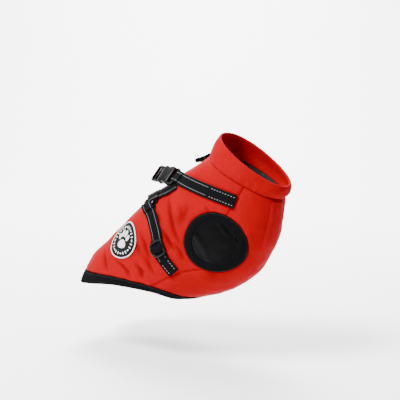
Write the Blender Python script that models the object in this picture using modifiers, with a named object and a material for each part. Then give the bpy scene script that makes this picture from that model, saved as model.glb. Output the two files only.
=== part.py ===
"""Dog coat: a padded vest with a stand collar, wide ribbed bindings and a built-in webbing harness.

The coat keeps the hollow form it has when it is worn: +X is towards the neck, +Y is the wearer's left
and +Z is up. The origin is on the inner face of the cloth, on the back line at the withers.
Tables and sizes are in millimetres and degrees; the meshes are in metres.

The body is one smooth skin. A point of it is named by two numbers: `row`, from 0 at the hem to 1 at
the neck seam, and `angle`, from 0 on the back line to 180 on the chest line, minus on the wearer's
right. Every panel, binding, strap and badge is made from points of that skin, moved out or in.
"""

import math

import bmesh
import bpy
import numpy as np
from mathutils import Matrix, Vector

MM = 0.001
RIGHT, LEFT = -1, 1
SIDES = {RIGHT: "right", LEFT: "left"}

# ---------------------------------------------------------------- driving sizes
CLOTH_WALL = 3.0            # padded cloth: shell, thin wadding and inner face
COLLAR_WALL = 4.0           # the collar is folded double
BINDING_WALL = 3.4          # ribbed band round each raw edge
BINDING_CROWN = 1.0         # how far the middle of a band stands above its edges
ARMHOLE_BAND = 10.8         # width of the band round an armhole, seen from the side
HEM_BAND = 0.066            # width of the band round the hem, in rows
SEAM_GAP = 0.8              # clearance between pieces that are sewn together
LIE_ON = 0.8                # clearance between the cloth and what lies on it

WEBBING_WIDTH = 20.0
WEBBING_THICK = 1.8
PLACKET_WIDTH = 22.0
PLACKET_THICK = 1.2
TAB_THICK = 4.6             # a webbing loop, folded double
BADGE_RADIUS = 29.5
BADGE_BORDER = 2.6
BADGE_THICK = 1.4

SLIDER_LENGTH, SLIDER_WIDTH, SLIDER_THICK = 25.0, 26.0, 3.2
SLIDER_SLOT, SLIDER_ROUND = 4.2, 2.6    # slot width, and how square the round side is (2: an ellipse)
RING_LENGTH, RING_WIDTH, RING_WIRE = 11.0, 25.0, 3.0
BUCKLE_WIDTH, BUCKLE_THICK = 30.0, 10.0
BUCKLE_BAR_THICK = 4.6
BUCKLE_SLOT, BUCKLE_SLOT_WIDTH = 3.6, 21.5

BLUNT = 0.86                # under 1 makes the back and the chest blunter than an ellipse
EGG = 0.06                  # how much wider a section is on the back half than on the chest half
HEM_ARCH_END = 0.36         # row at which the arch of the hem has faded out

# Sections of the body at even steps from the hem to the neck seam.
# back x, back z, chest x, chest z, half width
SECTIONS = np.array([
    (-212.0, -186.5, -4.0, -199.0, 76.0),
    (-192.0, -150.0, 29.0, -191.0, 77.0),
    (-160.5, -121.5, 57.0, -181.0, 76.0),
    (-130.5, -94.5, 82.0, -166.0, 74.0),
    (-101.5, -68.0, 104.0, -147.0, 71.0),
    (-70.5, -45.0, 120.0, -122.0, 67.0),
    (-39.0, -22.0, 133.0, -96.0, 62.0),
    (-5.0, -1.0, 139.5, -66.5, 55.0),
    (30.5, 20.5, 143.0, -37.0, 48.0),
])

# How far the hem edge lies above (or below) row 0, in rows, at even steps of angle, back to chest.
HEM_ARCH = np.array([-0.012, -0.015, 0.020, 0.075, 0.090, 0.022, 0.0])

# Sections of the stand collar at even steps from the neck seam to its top edge, same columns.
COLLAR_SECTIONS = np.array([
    (30.5, 20.5, 143.0, -37.0, 48.0),
    (37.0, 36.0, 149.5, -29.5, 47.5),
    (46.0, 52.0, 152.5, -20.5, 43.0),
])

# Armhole, seen square from the side: an ellipse cut through each flank.
ARMHOLE_X, ARMHOLE_Z = 66.4, -99.5
ARMHOLE_HALF_LENGTH, ARMHOLE_HALF_HEIGHT = 45.0, 43.7

NECK_SEAM_ANGLE = 111.5     # where the shoulder seam meets the neck seam
HEM_SEAM_ANGLE = 110.5      # where the side seam meets the hem
SEAM_BEND = 6               # power with which the side seam bends to the tip of the armhole

# Largest soft folds: side, from row, from angle, to row, to angle, half width, height (minus: trough)
FOLDS = np.array([
    (RIGHT, 0.720, 46.0, 0.570, 86.0, 9.0, -2.2),
    (RIGHT, 0.705, 72.0, 0.615, 87.0, 8.0, -1.4),
    (RIGHT, 0.440, 60.0, 0.290, 98.0, 11.0, -2.2),
    (RIGHT, 0.275, 82.0, 0.120, 100.0, 10.0, -1.8),
    (RIGHT, 0.210, 58.0, 0.100, 74.0, 10.0, -1.6),
    (LEFT, 0.700, 50.0, 0.560, 88.0, 10.0, -2.0),
    (LEFT, 0.430, 55.0, 0.310, 94.0, 10.0, -2.0),
    (LEFT, 0.260, 76.0, 0.110, 96.0, 11.0, -1.9),
])
ROW_LENGTH, ANGLE_LENGTH = 270.0, 1.15     # mean millimetres for one row unit and for one degree

# Paths of webbing and trim on the skin, for either side: row, angle from the back line, lift,
# and how many degrees its cut end is turned from square.
FRONT_STRAP_RIGHT_PATH = np.array([
    (0.903, 111.5, 0.0, 0.0),
    (0.892, 95.9, 0.0, 0.0),
    (0.875, 78.0, 0.0, 0.0),
    (0.852, 57.5, 0.0, 0.0),
    (0.832, 41.5, 0.8, 0.0),
    (0.817, 31.0, 2.8, 0.0),
])
FRONT_STRAP_LEFT_PATH = np.array([
    (0.903, 111.5, 0.0, 0.0),
    (0.892, 95.9, 0.0, 0.0),
    (0.873, 78.0, 0.0, 0.0),
    (0.845, 57.5, 0.0, 0.0),
    (0.795, 32.0, 0.0, 0.0),
    (0.750, 14.0, 0.4, 0.0),
])
BACK_BAND_PATH = np.array([
    (0.708, 34.6, 0.0, 0.0),
    (0.690, 33.4, 0.0, 10.0),
    (0.671, 32.4, 0.0, 24.0),
    (0.652, 31.6, 0.6, 36.0),
])
REAR_STRAP_PATH = np.array([
    (0.590, 40.6, 0.6, -34.0),
    (0.572, 54.7, 0.0, 0.0),
    (0.526, 69.0, 0.0, 0.0),
    (0.487, 77.0, 0.0, 0.0),
    (0.446, 83.4, 0.0, 0.0),
])
STRAP_END_PATH = np.array([
    (0.432, 86.0, 0.0, 0.0),
    (0.395, 94.5, 0.0, 0.0),
    (0.365, 103.0, 0.0, 0.0),
    (0.337, 110.5, 0.0, 0.0),
])
NAPE_TAB_PATH = np.array([
    (0.990, 0.0, 0.0, 0.0),
    (0.950, 0.0, 0.6, 0.0),
    (0.905, 0.0, 2.0, 0.0),
])
PLACKET_PATH = np.array([
    (0.985, -170.5, 0.0, 0.0),
    (0.890, -171.5, 0.0, 0.0),
    (0.790, -172.0, 0.0, 0.0),
    (0.700, -172.5, 0.0, 0.0),
])

# Where the left front strap leaves the cloth and rises to the rear end of the buckle:
# x, y, z of its middle, then the way across it.
STRAP_TO_BUCKLE = np.array([
    (-43.5, 6.5, -22.6, 0.62, -0.63, 0.45),
    (-49.0, -3.0, -20.8, 0.64, -0.68, 0.25),
    (-54.0, -12.0, -18.0, 0.52, -0.78, -0.18),
    (-59.1, -21.4, -14.8, -0.19, -0.70, -0.69),
])
BADGE_ROW, BADGE_ANGLE = 0.352, -51.8
SLIDER_ROW, SLIDER_ANGLE = 0.440, 84.6
RING_ROW, RING_ANGLE = 0.608, 34.0

# Buckle: middle, the way its length runs, and the way its face looks.
BUCKLE_MIDDLE = np.array([-40.5, -29.7, -12.0])
BUCKLE_ALONG = np.array([-0.97, 0.24, 0.03])
BUCKLE_FACE = np.array([-0.19, -0.70, 0.64])

# Facets along and across the larger pieces
PANEL_ROWS = (11, 16, 6)    # below, beside and above the armhole
BACK_COLUMNS, CHEST_COLUMNS = 28, 16
COLLAR_ROWS, COLLAR_COLUMNS = 5, 44
HEM_ROWS, HEM_COLUMNS = 4, 60
ARMHOLE_ROWS, ARMHOLE_COLUMNS = 3, 44
STRAP_STEP = 9.0            # length of one facet along a strap


# ---------------------------------------------------------------- the skin
def between_rows(table, row):
    """Values of a table between its even rows, on a smooth curve through them."""
    steps = len(table) - 1
    place = np.asarray(row, float) * steps
    first = np.clip(np.floor(place), 0, steps - 1).astype(int)
    part = (place - first)[..., None]
    ends = np.vstack([2 * table[0] - table[1], table, 2 * table[-1] - table[-2]])
    a, b, c, d = ends[first], ends[first + 1], ends[first + 2], ends[first + 3]
    return b + 0.5 * part * (c - a + part * (2 * a - 5 * b + 4 * c - d + part * (3 * (b - c) + d - a)))


def section_point(table, row, angle):
    """A point of the blunt, slightly egg-shaped section that spans its back and chest points."""
    values = between_rows(table, row)
    turn = np.radians(angle)
    down = (1 - np.cos(turn)) / 2
    side = np.sign(np.sin(turn)) * np.abs(np.sin(turn)) ** BLUNT
    x = values[..., 0] + down * (values[..., 2] - values[..., 0])
    z = values[..., 1] + down * (values[..., 3] - values[..., 1])
    y = values[..., 4] * side * (1 + EGG * np.cos(turn))
    return np.stack(np.broadcast_arrays(x, y, z), axis=-1)


def body_skin(row, angle):
    """The body without folds, its hem arched up at the sides."""
    row, angle = np.broadcast_arrays(np.asarray(row, float), np.asarray(angle, float))
    fade = np.clip(1 - row / HEM_ARCH_END, 0, None) ** 2
    turned = np.abs((angle + 180) % 360 - 180) / 180
    arched = row + between_rows(HEM_ARCH[:, None], turned)[..., 0] * fade
    return section_point(SECTIONS, arched, angle)


def collar_skin(row, angle):
    row, angle = np.broadcast_arrays(np.asarray(row, float), np.asarray(angle, float))
    return section_point(COLLAR_SECTIONS, row, angle)


def unit(vectors):
    return vectors / np.linalg.norm(vectors, axis=-1, keepdims=True)


def outward(skin, row, angle):
    """Unit normal of a skin, from points a little to each side."""
    along = skin(row + 0.002, angle) - skin(row - 0.002, angle)
    around = skin(row, angle + 0.4) - skin(row, angle - 0.4)
    return unit(np.cross(along, around))


def fold_height(row, angle):
    """Sum of the soft folds: each a bell-shaped trough along a line, faded towards its two ends."""
    place = np.stack([row * ROW_LENGTH, angle * ANGLE_LENGTH], axis=-1)
    total = np.zeros(place.shape[:-1])
    for side, row_a, angle_a, row_b, angle_b, half_width, height in FOLDS:
        start = np.array([row_a * ROW_LENGTH, side * angle_a * ANGLE_LENGTH])
        end = np.array([row_b * ROW_LENGTH, side * angle_b * ANGLE_LENGTH])
        line = end - start
        along = np.clip(((place - start) @ line) / (line @ line), 0, 1)
        away = np.linalg.norm(place - start - along[..., None] * line, axis=-1)
        total += height * np.exp(-(away / half_width) ** 2) * (0.35 + 0.65 * np.sin(math.pi * along))
    return total


def cloth(row, angle, lift=0.0):
    """A point of the outer face of the cloth, moved out by lift."""
    row, angle = np.broadcast_arrays(np.asarray(row, float), np.asarray(angle, float))
    height = np.asarray(fold_height(row, angle) + lift)
    return body_skin(row, angle) + outward(body_skin, row, angle) * height[..., None]


# ---------------------------------------------------------------- armholes and seams
def armhole_crossing(row):
    """Shares of the way down a section at which it enters and leaves the armhole ellipse."""
    values = between_rows(SECTIONS, row)
    size = np.array([ARMHOLE_HALF_LENGTH, ARMHOLE_HALF_HEIGHT])
    start = (values[..., 0:2] - np.array([ARMHOLE_X, ARMHOLE_Z])) / size
    step = (values[..., 2:4] - values[..., 0:2]) / size
    a = (step * step).sum(-1)
    b = (start * step).sum(-1)
    inside = b * b - a * ((start * start).sum(-1) - 1)
    reach = np.sqrt(np.maximum(inside, 0))
    return (-b - reach) / a, (-b + reach) / a, inside


def angle_of_share(share):
    return np.degrees(np.arccos(np.clip(1 - 2 * share, -1, 1)))


def armhole_tip(low, high):
    """Row at which a section only touches the armhole: low is inside the hole, high is clear of it."""
    for _ in range(40):
        middle = (low + high) / 2
        if armhole_crossing(middle)[2] > 0:
            low = middle
        else:
            high = middle
    return low


ARMHOLE_MIDDLE_ROW = 0.60
LOWER_TIP = armhole_tip(ARMHOLE_MIDDLE_ROW, 0.30)
UPPER_TIP = armhole_tip(ARMHOLE_MIDDLE_ROW, 0.95)


def panel_edges(row):
    """Angles at which the back panel ends and the chest panel begins, on one side."""
    enter, leave, _ = armhole_crossing(row)
    low_angle = angle_of_share(armhole_crossing(LOWER_TIP)[0])
    high_angle = angle_of_share(armhole_crossing(UPPER_TIP)[0])
    side_seam = HEM_SEAM_ANGLE + (low_angle - HEM_SEAM_ANGLE) * np.clip(row / LOWER_TIP, 0, 1) ** SEAM_BEND
    up = np.clip((row - UPPER_TIP) / (1 - UPPER_TIP), 0, 1)
    shoulder_seam = high_angle + (NECK_SEAM_ANGLE - high_angle) * up
    seam = np.where(row < ARMHOLE_MIDDLE_ROW, side_seam, shoulder_seam)
    open_here = (row > LOWER_TIP) & (row < UPPER_TIP)
    gap = SEAM_GAP / 2 / ANGLE_LENGTH
    back = np.where(open_here, angle_of_share(enter), seam) - gap
    chest = np.where(open_here, angle_of_share(leave), seam) + gap
    return back, chest


def panel_rows():
    """Rows of a panel: even below and above the armhole, and closer near its two tips."""
    below, beside, above = PANEL_ROWS
    swing = (1 - np.cos(np.linspace(0, math.pi, beside + 1))) / 2
    low = np.linspace(HEM_BAND + SEAM_GAP / ROW_LENGTH, LOWER_TIP, below + 1)
    middle = LOWER_TIP + (UPPER_TIP - LOWER_TIP) * swing
    high = np.linspace(UPPER_TIP, 1 - SEAM_GAP / ROW_LENGTH, above + 1)
    return np.concatenate([low, middle[1:-1], high])


def row_and_angle_at(x, z, side):
    """Row and angle of the skin point that is seen at x, z square from the side, by halving."""
    low, high = np.full(np.shape(x), HEM_ARCH_END), np.full(np.shape(x), 1.0)
    for _ in range(40):
        row = (low + high) / 2
        values = between_rows(SECTIONS, row)
        step_x, step_z = values[..., 2] - values[..., 0], values[..., 3] - values[..., 1]
        above = step_x * (z - values[..., 1]) - step_z * (x - values[..., 0]) > 0
        low, high = np.where(above, row, low), np.where(above, high, row)
    share = ((x - values[..., 0]) * step_x + (z - values[..., 1]) * step_z) / (step_x ** 2 + step_z ** 2)
    return row, side * angle_of_share(share)


# ---------------------------------------------------------------- making objects
def clear_scene():
    for old in list(bpy.data.objects):
        bpy.data.objects.remove(old, do_unlink=True)


def finish(name, colour, roughness, metallic=0.0):
    """A plain material for one kind of piece."""
    material = bpy.data.materials.new(name)
    material.use_nodes = True
    shader = material.node_tree.nodes["Principled BSDF"]
    shader.inputs["Base Color"].default_value = (*colour, 1.0)
    shader.inputs["Roughness"].default_value = roughness
    shader.inputs["Metallic"].default_value = metallic
    material.diffuse_color = (*colour, 1.0)
    return material


def add_object(name, data, collection, material):
    piece = bpy.data.objects.new(name, data)
    collection.objects.link(piece)
    data.materials.append(material)
    return piece


def wall_from_grid(name, points, thickness, collection, material, ring=False, disc=False):
    """An open surface through a grid of points (rows along, columns across), thickened by Solidify.

    ring joins the last column to the first; disc closes the first row with one face.
    A minus thickness goes in from the points, a plus one goes out.
    """
    rows, columns = points.shape[:2]
    corners = (points.reshape(-1, 3) * MM).tolist()
    faces = []
    for i in range(rows - 1):
        for j in range(columns if ring else columns - 1):
            k = (j + 1) % columns
            faces.append((i * columns + j, (i + 1) * columns + j, (i + 1) * columns + k, i * columns + k))
    if disc:
        faces.append(tuple(range(columns)))
    mesh = bpy.data.meshes.new(name)
    mesh.from_pydata(corners, [], faces)
    mesh.shade_smooth()
    piece = add_object(name, mesh, collection, material)
    wall = piece.modifiers.new("wall", "SOLIDIFY")
    wall.thickness = abs(thickness) * MM
    wall.offset = 1 if thickness > 0 else -1
    return piece


def split_shift(shift, per_row, per_angle):
    """Row and angle steps that carry a point of the skin along a given shift."""
    rr, ra, aa = [(p * q).sum(-1)[:, None] for p, q in
                  ((per_row, per_row), (per_row, per_angle), (per_angle, per_angle))]
    to_row = (shift * per_row[:, None, :]).sum(-1)
    to_angle = (shift * per_angle[:, None, :]).sum(-1)
    whole = rr * aa - ra * ra
    return (to_row * aa - to_angle * ra) / whole, (to_angle * rr - to_row * ra) / whole


def slopes(row, angle):
    """How the cloth moves for one row unit and for one degree."""
    per_row = (cloth(row + 0.002, angle) - cloth(row - 0.002, angle)) / 0.004
    per_angle = cloth(row, angle + 0.5) - cloth(row, angle - 0.5)
    return per_row, per_angle


def strap_points(path, side, width, columns=2, follow=False):
    """Points of a flat strip along a path on the skin, straight across, or following the cloth."""
    fine = between_rows(path, np.linspace(0, 1, 60))
    length = np.linalg.norm(np.diff(cloth(fine[:, 0], side * fine[:, 1]), axis=0), axis=1).sum()
    spots = between_rows(path, np.linspace(0, 1, max(2, round(length / STRAP_STEP)) + 1))
    row, angle, lift = spots[:, 0], side * spots[:, 1], spots[:, 2] + LIE_ON
    skew = np.radians(side * spots[:, 3])[:, None]
    middle = cloth(row, angle, lift)
    ahead = unit(np.gradient(middle, axis=0))
    across = unit(np.cross(outward(body_skin, row, angle), ahead)) + ahead * np.tan(skew)
    shift = across[:, None, :] * np.linspace(-0.5, 0.5, columns)[None, :, None] * width
    if not follow:
        return middle[:, None, :] + shift
    rows, angles = split_shift(shift, *slopes(row, angle))
    return cloth(row[:, None] + rows, angle[:, None] + angles, lift[:, None])


def frame_from(place, along, face):
    """A frame at a place: x along, z as near to face as that allows."""
    along = unit(np.asarray(along, float))
    face = unit(face - along * (along @ face))
    across = np.cross(face, along)
    frame = Matrix([(*along, 0), (*across, 0), (*face, 0), (0, 0, 0, 1)]).transposed()
    frame.translation = Vector(place * MM)
    return frame


def seat(row, angle, ahead_row, ahead_angle, lift):
    """A frame standing on the cloth, its x along the cloth towards a second point."""
    here = cloth(row, angle, lift)
    normal = outward(body_skin, np.array(row), np.array(angle))
    ahead = cloth(ahead_row, ahead_angle, lift) - here
    ahead = ahead - normal * (ahead @ normal)
    return frame_from(here, ahead, normal)


def rounded_box(length, width, corner, centre=0.0, steps=3):
    """Outline of a rectangle with round corners; centre is its middle along x."""
    points = []
    for quarter, (sx, sy) in enumerate(((1, 1), (-1, 1), (-1, -1), (1, -1))):
        for k in range(steps + 1):
            turn = math.radians(90 * (quarter + k / steps))
            x = centre + sx * (length / 2 - corner) + corner * math.cos(turn)
            y = sy * (width / 2 - corner) + corner * math.sin(turn)
            points.append((x, y))
    return points


def plate(name, outlines, thickness, collection, material):
    """A flat plate: the first outline is its edge and the others are holes, as lists of x, y."""
    flat = bpy.data.curves.new(name, "CURVE")
    flat.dimensions = "2D"
    flat.fill_mode = "BOTH"
    flat.extrude = thickness / 2 * MM
    for outline in outlines:
        spline = flat.splines.new("POLY")
        spline.points.add(len(outline) - 1)
        for point, (x, y) in zip(spline.points, outline):
            point.co = (x * MM, y * MM, 0, 1)
        spline.use_cyclic_u = True
    return add_object(name, flat, collection, material)


def as_mesh(curve_piece, collection, material):
    """The same piece as a welded mesh, so that it can be joined or bevelled."""
    name = curve_piece.name
    bpy.context.view_layer.update()
    seen = curve_piece.evaluated_get(bpy.context.evaluated_depsgraph_get())
    mesh = bpy.data.meshes.new_from_object(seen)
    shape = bmesh.new()
    shape.from_mesh(mesh)
    bmesh.ops.remove_doubles(shape, verts=shape.verts, dist=1e-6)
    bmesh.ops.recalc_face_normals(shape, faces=shape.faces)
    shape.to_mesh(mesh)
    shape.free()
    bpy.data.objects.remove(curve_piece, do_unlink=True)
    mesh.materials.clear()
    mesh.name = name
    return add_object(name, mesh, collection, material)


def soften(piece, width):
    edge = piece.modifiers.new("soft edge", "BEVEL")
    edge.width = width * MM
    edge.segments = 1
    edge.limit_method = "ANGLE"
    edge.angle_limit = math.radians(60)


# ---------------------------------------------------------------- cloth pieces
def make_back_panel(collection, red):
    rows = panel_rows()
    edge, _ = panel_edges(rows)
    across = np.linspace(-1, 1, BACK_COLUMNS + 1)
    points = cloth(rows[:, None], edge[:, None] * across[None, :])
    wall_from_grid("back_panel", points, -CLOTH_WALL, collection, red)


def make_chest_panel(collection, red):
    rows = panel_rows()
    _, edge = panel_edges(rows)
    across = np.linspace(0, 1, CHEST_COLUMNS + 1)
    angles = edge[:, None] + (360 - 2 * edge[:, None]) * across[None, :]
    points = cloth(rows[:, None], (angles + 180) % 360 - 180)
    wall_from_grid("chest_panel", points, -CLOTH_WALL, collection, red)


def make_collar(collection, red):
    rows = np.linspace(0.02, 1, COLLAR_ROWS + 1)
    angles = np.arange(COLLAR_COLUMNS) * 360 / COLLAR_COLUMNS - 180
    points = collar_skin(rows[:, None], angles[None, :])
    wall_from_grid("collar", points, -COLLAR_WALL, collection, red, ring=True)


def make_hem_binding(collection, black):
    rows = np.linspace(0, HEM_BAND, HEM_ROWS + 1)
    crown = BINDING_CROWN * (1 - (2 * rows / HEM_BAND - 1) ** 2)
    angles = np.arange(HEM_COLUMNS) * 360 / HEM_COLUMNS - 180
    points = cloth(rows[:, None], angles[None, :], crown[:, None])
    wall_from_grid("hem_binding", points, -BINDING_WALL, collection, black, ring=True)


def make_armhole_binding(side, collection, black):
    share = np.linspace(0, 1, ARMHOLE_ROWS + 1)[:, None]
    turn = np.radians(np.arange(ARMHOLE_COLUMNS) * 360 / ARMHOLE_COLUMNS)[None, :]
    inset = SEAM_GAP / 2 + ARMHOLE_BAND * (1 - share)
    x = ARMHOLE_X + (ARMHOLE_HALF_LENGTH - inset) * np.cos(turn)
    z = ARMHOLE_Z - side * (ARMHOLE_HALF_HEIGHT - inset) * np.sin(turn)
    row, angle = row_and_angle_at(x, z, side)
    crown = BINDING_CROWN * (1 - (2 * share - 1) ** 2)
    points = cloth(row, angle, crown)
    name = "armhole_binding_" + SIDES[side]
    wall_from_grid(name, points, -BINDING_WALL, collection, black, ring=True)


def make_placket(collection, red):
    points = strap_points(PLACKET_PATH, 1, PLACKET_WIDTH, columns=5, follow=True)
    wall_from_grid("front_placket", points, PLACKET_THICK, collection, red)


def make_nape_tab(collection, black):
    points = strap_points(NAPE_TAB_PATH, 1, WEBBING_WIDTH)
    wall_from_grid("nape_tab", points, TAB_THICK, collection, black)


def make_badge(collection, black, white):
    """A disc and the border round it, both bent to the cloth under them."""
    row, angle = np.array([BADGE_ROW]), np.array([BADGE_ANGLE])
    normal = outward(body_skin, row, angle)
    down = unit(np.cross(np.cross(normal, np.array([[0.0, 0.0, -1.0]])), normal))
    sideways = np.cross(normal, down)
    per_row, per_angle = slopes(row, angle)

    def rings(radii, count=32):
        turn = np.radians(np.arange(count) * 360 / count)[None, :, None]
        shift = np.asarray(radii)[:, None, None] * (down * np.cos(turn) + sideways * np.sin(turn))
        rows, angles = split_shift(shift.reshape(1, -1, 3), per_row, per_angle)
        return cloth(row + rows, angle + angles, LIE_ON).reshape(len(radii), count, 3)

    inner = BADGE_RADIUS - BADGE_BORDER
    disc = rings([inner * 0.25, inner * 0.65, inner - SEAM_GAP])
    wall_from_grid("badge_disc", disc, BADGE_THICK, collection, black, ring=True, disc=True)
    border = rings([inner, BADGE_RADIUS])
    wall_from_grid("badge_border", border, BADGE_THICK, collection, white, ring=True)


# ---------------------------------------------------------------- harness
def make_straps(side, collection, webbing):
    """The webbing of one side: front strap, back band, rear strap and its lower end."""
    paths = {
        "front_strap": FRONT_STRAP_RIGHT_PATH if side == RIGHT else FRONT_STRAP_LEFT_PATH,
        "back_band": BACK_BAND_PATH,
        "rear_strap": REAR_STRAP_PATH,
        "rear_strap_end": STRAP_END_PATH,
    }
    for name, path in paths.items():
        points = strap_points(path, side, WEBBING_WIDTH)
        if name == "front_strap" and side == LEFT:
            free = STRAP_TO_BUCKLE[:, None, :3]
            shift = unit(STRAP_TO_BUCKLE[:, None, 3:]) * np.array([[[-0.5], [0.5]]]) * WEBBING_WIDTH
            points = np.concatenate([points, free + shift])
        wall_from_grid(name + "_" + SIDES[side], points, WEBBING_THICK, collection, webbing)


def make_slider(side, collection, plastic):
    """A strap slider: flat at the front, round at the rear, with a bar between two slots."""
    half, reach = SLIDER_LENGTH / 2, SLIDER_WIDTH / 2
    outline = [(half, -side * reach), (-half, -side * reach)]
    for k in range(13):
        turn = math.radians(180 - 180 * k / 12)
        x = math.copysign(abs(math.cos(turn)) ** (2 / SLIDER_ROUND), math.cos(turn))
        outline.append((half * x, side * reach * math.sin(turn) ** (2 / SLIDER_ROUND)))
    slots = []
    for end in (-1, 1):
        slots.append(rounded_box(SLIDER_SLOT, SLIDER_WIDTH - 7, 1.2, end * SLIDER_LENGTH / 4, 2))
    name = "slider_" + SIDES[side]
    piece = as_mesh(plate(name, [outline] + slots, SLIDER_THICK, collection, plastic), collection, plastic)
    above = LIE_ON + WEBBING_THICK + 0.5 + SLIDER_THICK / 2
    ahead = (SLIDER_ROW - 0.045, side * (SLIDER_ANGLE + 9.0))
    piece.matrix_world = seat(SLIDER_ROW, side * SLIDER_ANGLE, *ahead, above)


def make_ring(side, collection, steel):
    """A long ring of steel wire between the back band and the rear strap."""
    name = "rear_ring_" + SIDES[side]
    wire = bpy.data.curves.new(name, "CURVE")
    wire.dimensions = "3D"
    wire.bevel_depth = RING_WIRE / 2 * MM
    wire.bevel_resolution = 1
    spline = wire.splines.new("POLY")
    outline = rounded_box(RING_LENGTH, RING_WIDTH, RING_LENGTH / 2 - 0.5)
    spline.points.add(len(outline) - 1)
    for point, (x, y) in zip(spline.points, outline):
        point.co = (x * MM, y * MM, 0, 1)
    spline.use_cyclic_u = True
    piece = add_object(name, wire, collection, steel)
    ahead = (RING_ROW - 0.060, side * (RING_ANGLE + 10.5))
    piece.matrix_world = seat(RING_ROW, side * RING_ANGLE, *ahead, LIE_ON + RING_WIRE / 2 + 1.0)


def make_buckle(collection, plastic):
    """A fastened side-release buckle; its two halves meet at x = 6 of its own frame."""
    frame = frame_from(BUCKLE_MIDDLE, BUCKLE_ALONG, BUCKLE_FACE)
    slot = rounded_box(BUCKLE_SLOT, BUCKLE_SLOT_WIDTH, 1.2, -21.5, 2)
    shell = rounded_box(23.0, BUCKLE_WIDTH, 4.0, -5.5)
    bar = rounded_box(16.0, BUCKLE_WIDTH - 3.0, 3.0, -18.0)
    body = as_mesh(plate("buckle_socket", [shell], BUCKLE_THICK, collection, plastic), collection, plastic)
    loop = as_mesh(plate("buckle_socket_bar", [bar, slot], BUCKLE_BAR_THICK, collection, plastic),
                   collection, plastic)
    soften(body, 1.6)
    join = body.modifiers.new("bar", "BOOLEAN")
    join.operation = "UNION"
    join.object = loop
    loop.hide_render = True
    loop.display_type = "WIRE"
    near = rounded_box(BUCKLE_SLOT, BUCKLE_SLOT_WIDTH, 1.2, 12.0, 2)
    far = rounded_box(BUCKLE_SLOT, BUCKLE_SLOT_WIDTH, 1.2, 18.0, 2)
    plug_edge = rounded_box(16.0, BUCKLE_WIDTH - 3.0, 3.0, 6.4 + 16.0 / 2)
    plug = as_mesh(plate("buckle_plug", [plug_edge, near, far], BUCKLE_BAR_THICK, collection, plastic),
                   collection, plastic)
    for piece in (body, loop, plug):
        piece.matrix_world = frame


def main():
    clear_scene()
    coat = bpy.data.collections.new("dog_coat")
    bpy.context.scene.collection.children.link(coat)
    red = finish("red shell", (0.75, 0.02, 0.02), 0.6)
    black = finish("black rib", (0.012, 0.012, 0.014), 0.85)
    webbing = finish("black webbing", (0.014, 0.014, 0.017), 0.7)
    white = finish("white border", (0.8, 0.8, 0.78), 0.6)
    plastic = finish("black plastic", (0.02, 0.02, 0.022), 0.35)
    steel = finish("steel", (0.5, 0.5, 0.5), 0.3, 1.0)
    make_back_panel(coat, red)
    make_chest_panel(coat, red)
    make_placket(coat, red)
    make_collar(coat, red)
    make_hem_binding(coat, black)
    make_nape_tab(coat, webbing)
    make_badge(coat, black, white)
    for side in SIDES:
        make_armhole_binding(side, coat, black)
        make_straps(side, coat, webbing)
        make_slider(side, coat, plastic)
        make_ring(side, coat, steel)
    make_buckle(coat, plastic)


main()
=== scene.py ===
import math

import bpy
import numpy as np
from mathutils import Matrix


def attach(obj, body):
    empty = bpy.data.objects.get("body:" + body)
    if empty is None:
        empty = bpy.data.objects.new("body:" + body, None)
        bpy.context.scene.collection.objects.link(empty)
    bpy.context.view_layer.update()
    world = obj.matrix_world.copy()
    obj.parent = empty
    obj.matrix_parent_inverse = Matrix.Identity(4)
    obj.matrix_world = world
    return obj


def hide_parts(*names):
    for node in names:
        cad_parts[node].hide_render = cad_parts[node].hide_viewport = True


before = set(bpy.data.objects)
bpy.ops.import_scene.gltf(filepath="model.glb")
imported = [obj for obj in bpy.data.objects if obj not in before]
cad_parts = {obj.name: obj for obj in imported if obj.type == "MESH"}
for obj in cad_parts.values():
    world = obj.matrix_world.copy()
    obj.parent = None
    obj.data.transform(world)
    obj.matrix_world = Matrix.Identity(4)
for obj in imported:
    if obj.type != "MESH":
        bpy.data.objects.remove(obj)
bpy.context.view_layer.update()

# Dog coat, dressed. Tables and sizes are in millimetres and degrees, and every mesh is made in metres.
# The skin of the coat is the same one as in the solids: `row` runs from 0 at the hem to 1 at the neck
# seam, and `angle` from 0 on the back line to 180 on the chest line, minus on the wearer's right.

MM = 0.001
RIGHT, LEFT = -1, 1
SIDES = {RIGHT: "right", LEFT: "left"}

# ---------------------------------------------------------------- sizes shared with the solids
CLOTH_WALL, COLLAR_WALL, BINDING_WALL = 2.6, 4.0, 3.4
BINDING_CROWN = 1.0
ARMHOLE_BAND = 10.8
HEM_BAND, HEM_WIDEN, HEM_WIDEST, HEM_WIDE_SPAN = 0.066, 0.50, 108.0, 42.0
SEAM_GAP = -0.1
LIE_ON = 0.8
WEBBING_WIDTH, WEBBING_THICK = 20.0, 1.8
PLACKET_WIDTH, PLACKET_THICK = 22.0, 1.2
TAB_OPENING = 3.0
BADGE_RADIUS, BADGE_BORDER, BADGE_THICK = 29.5, 2.6, 1.4
SLIDER_LENGTH, SLIDER_WIDTH, SLIDER_THICK, SLIDER_ROUND = 25.0, 26.0, 3.2, 2.6
SLIDER_BAR_WIDTH, SLIDER_BAR_THICK = 4.6, 2.6
RING_LENGTH, RING_WIDTH, RING_WIRE = 11.0, 25.0, 3.0
BUCKLE_WIDTH, BUCKLE_THICK, BUCKLE_BAR_THICK = 30.0, 10.0, 4.6
BLUNT, EGG, HEM_ARCH_END = 0.86, 0.06, 0.36

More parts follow.
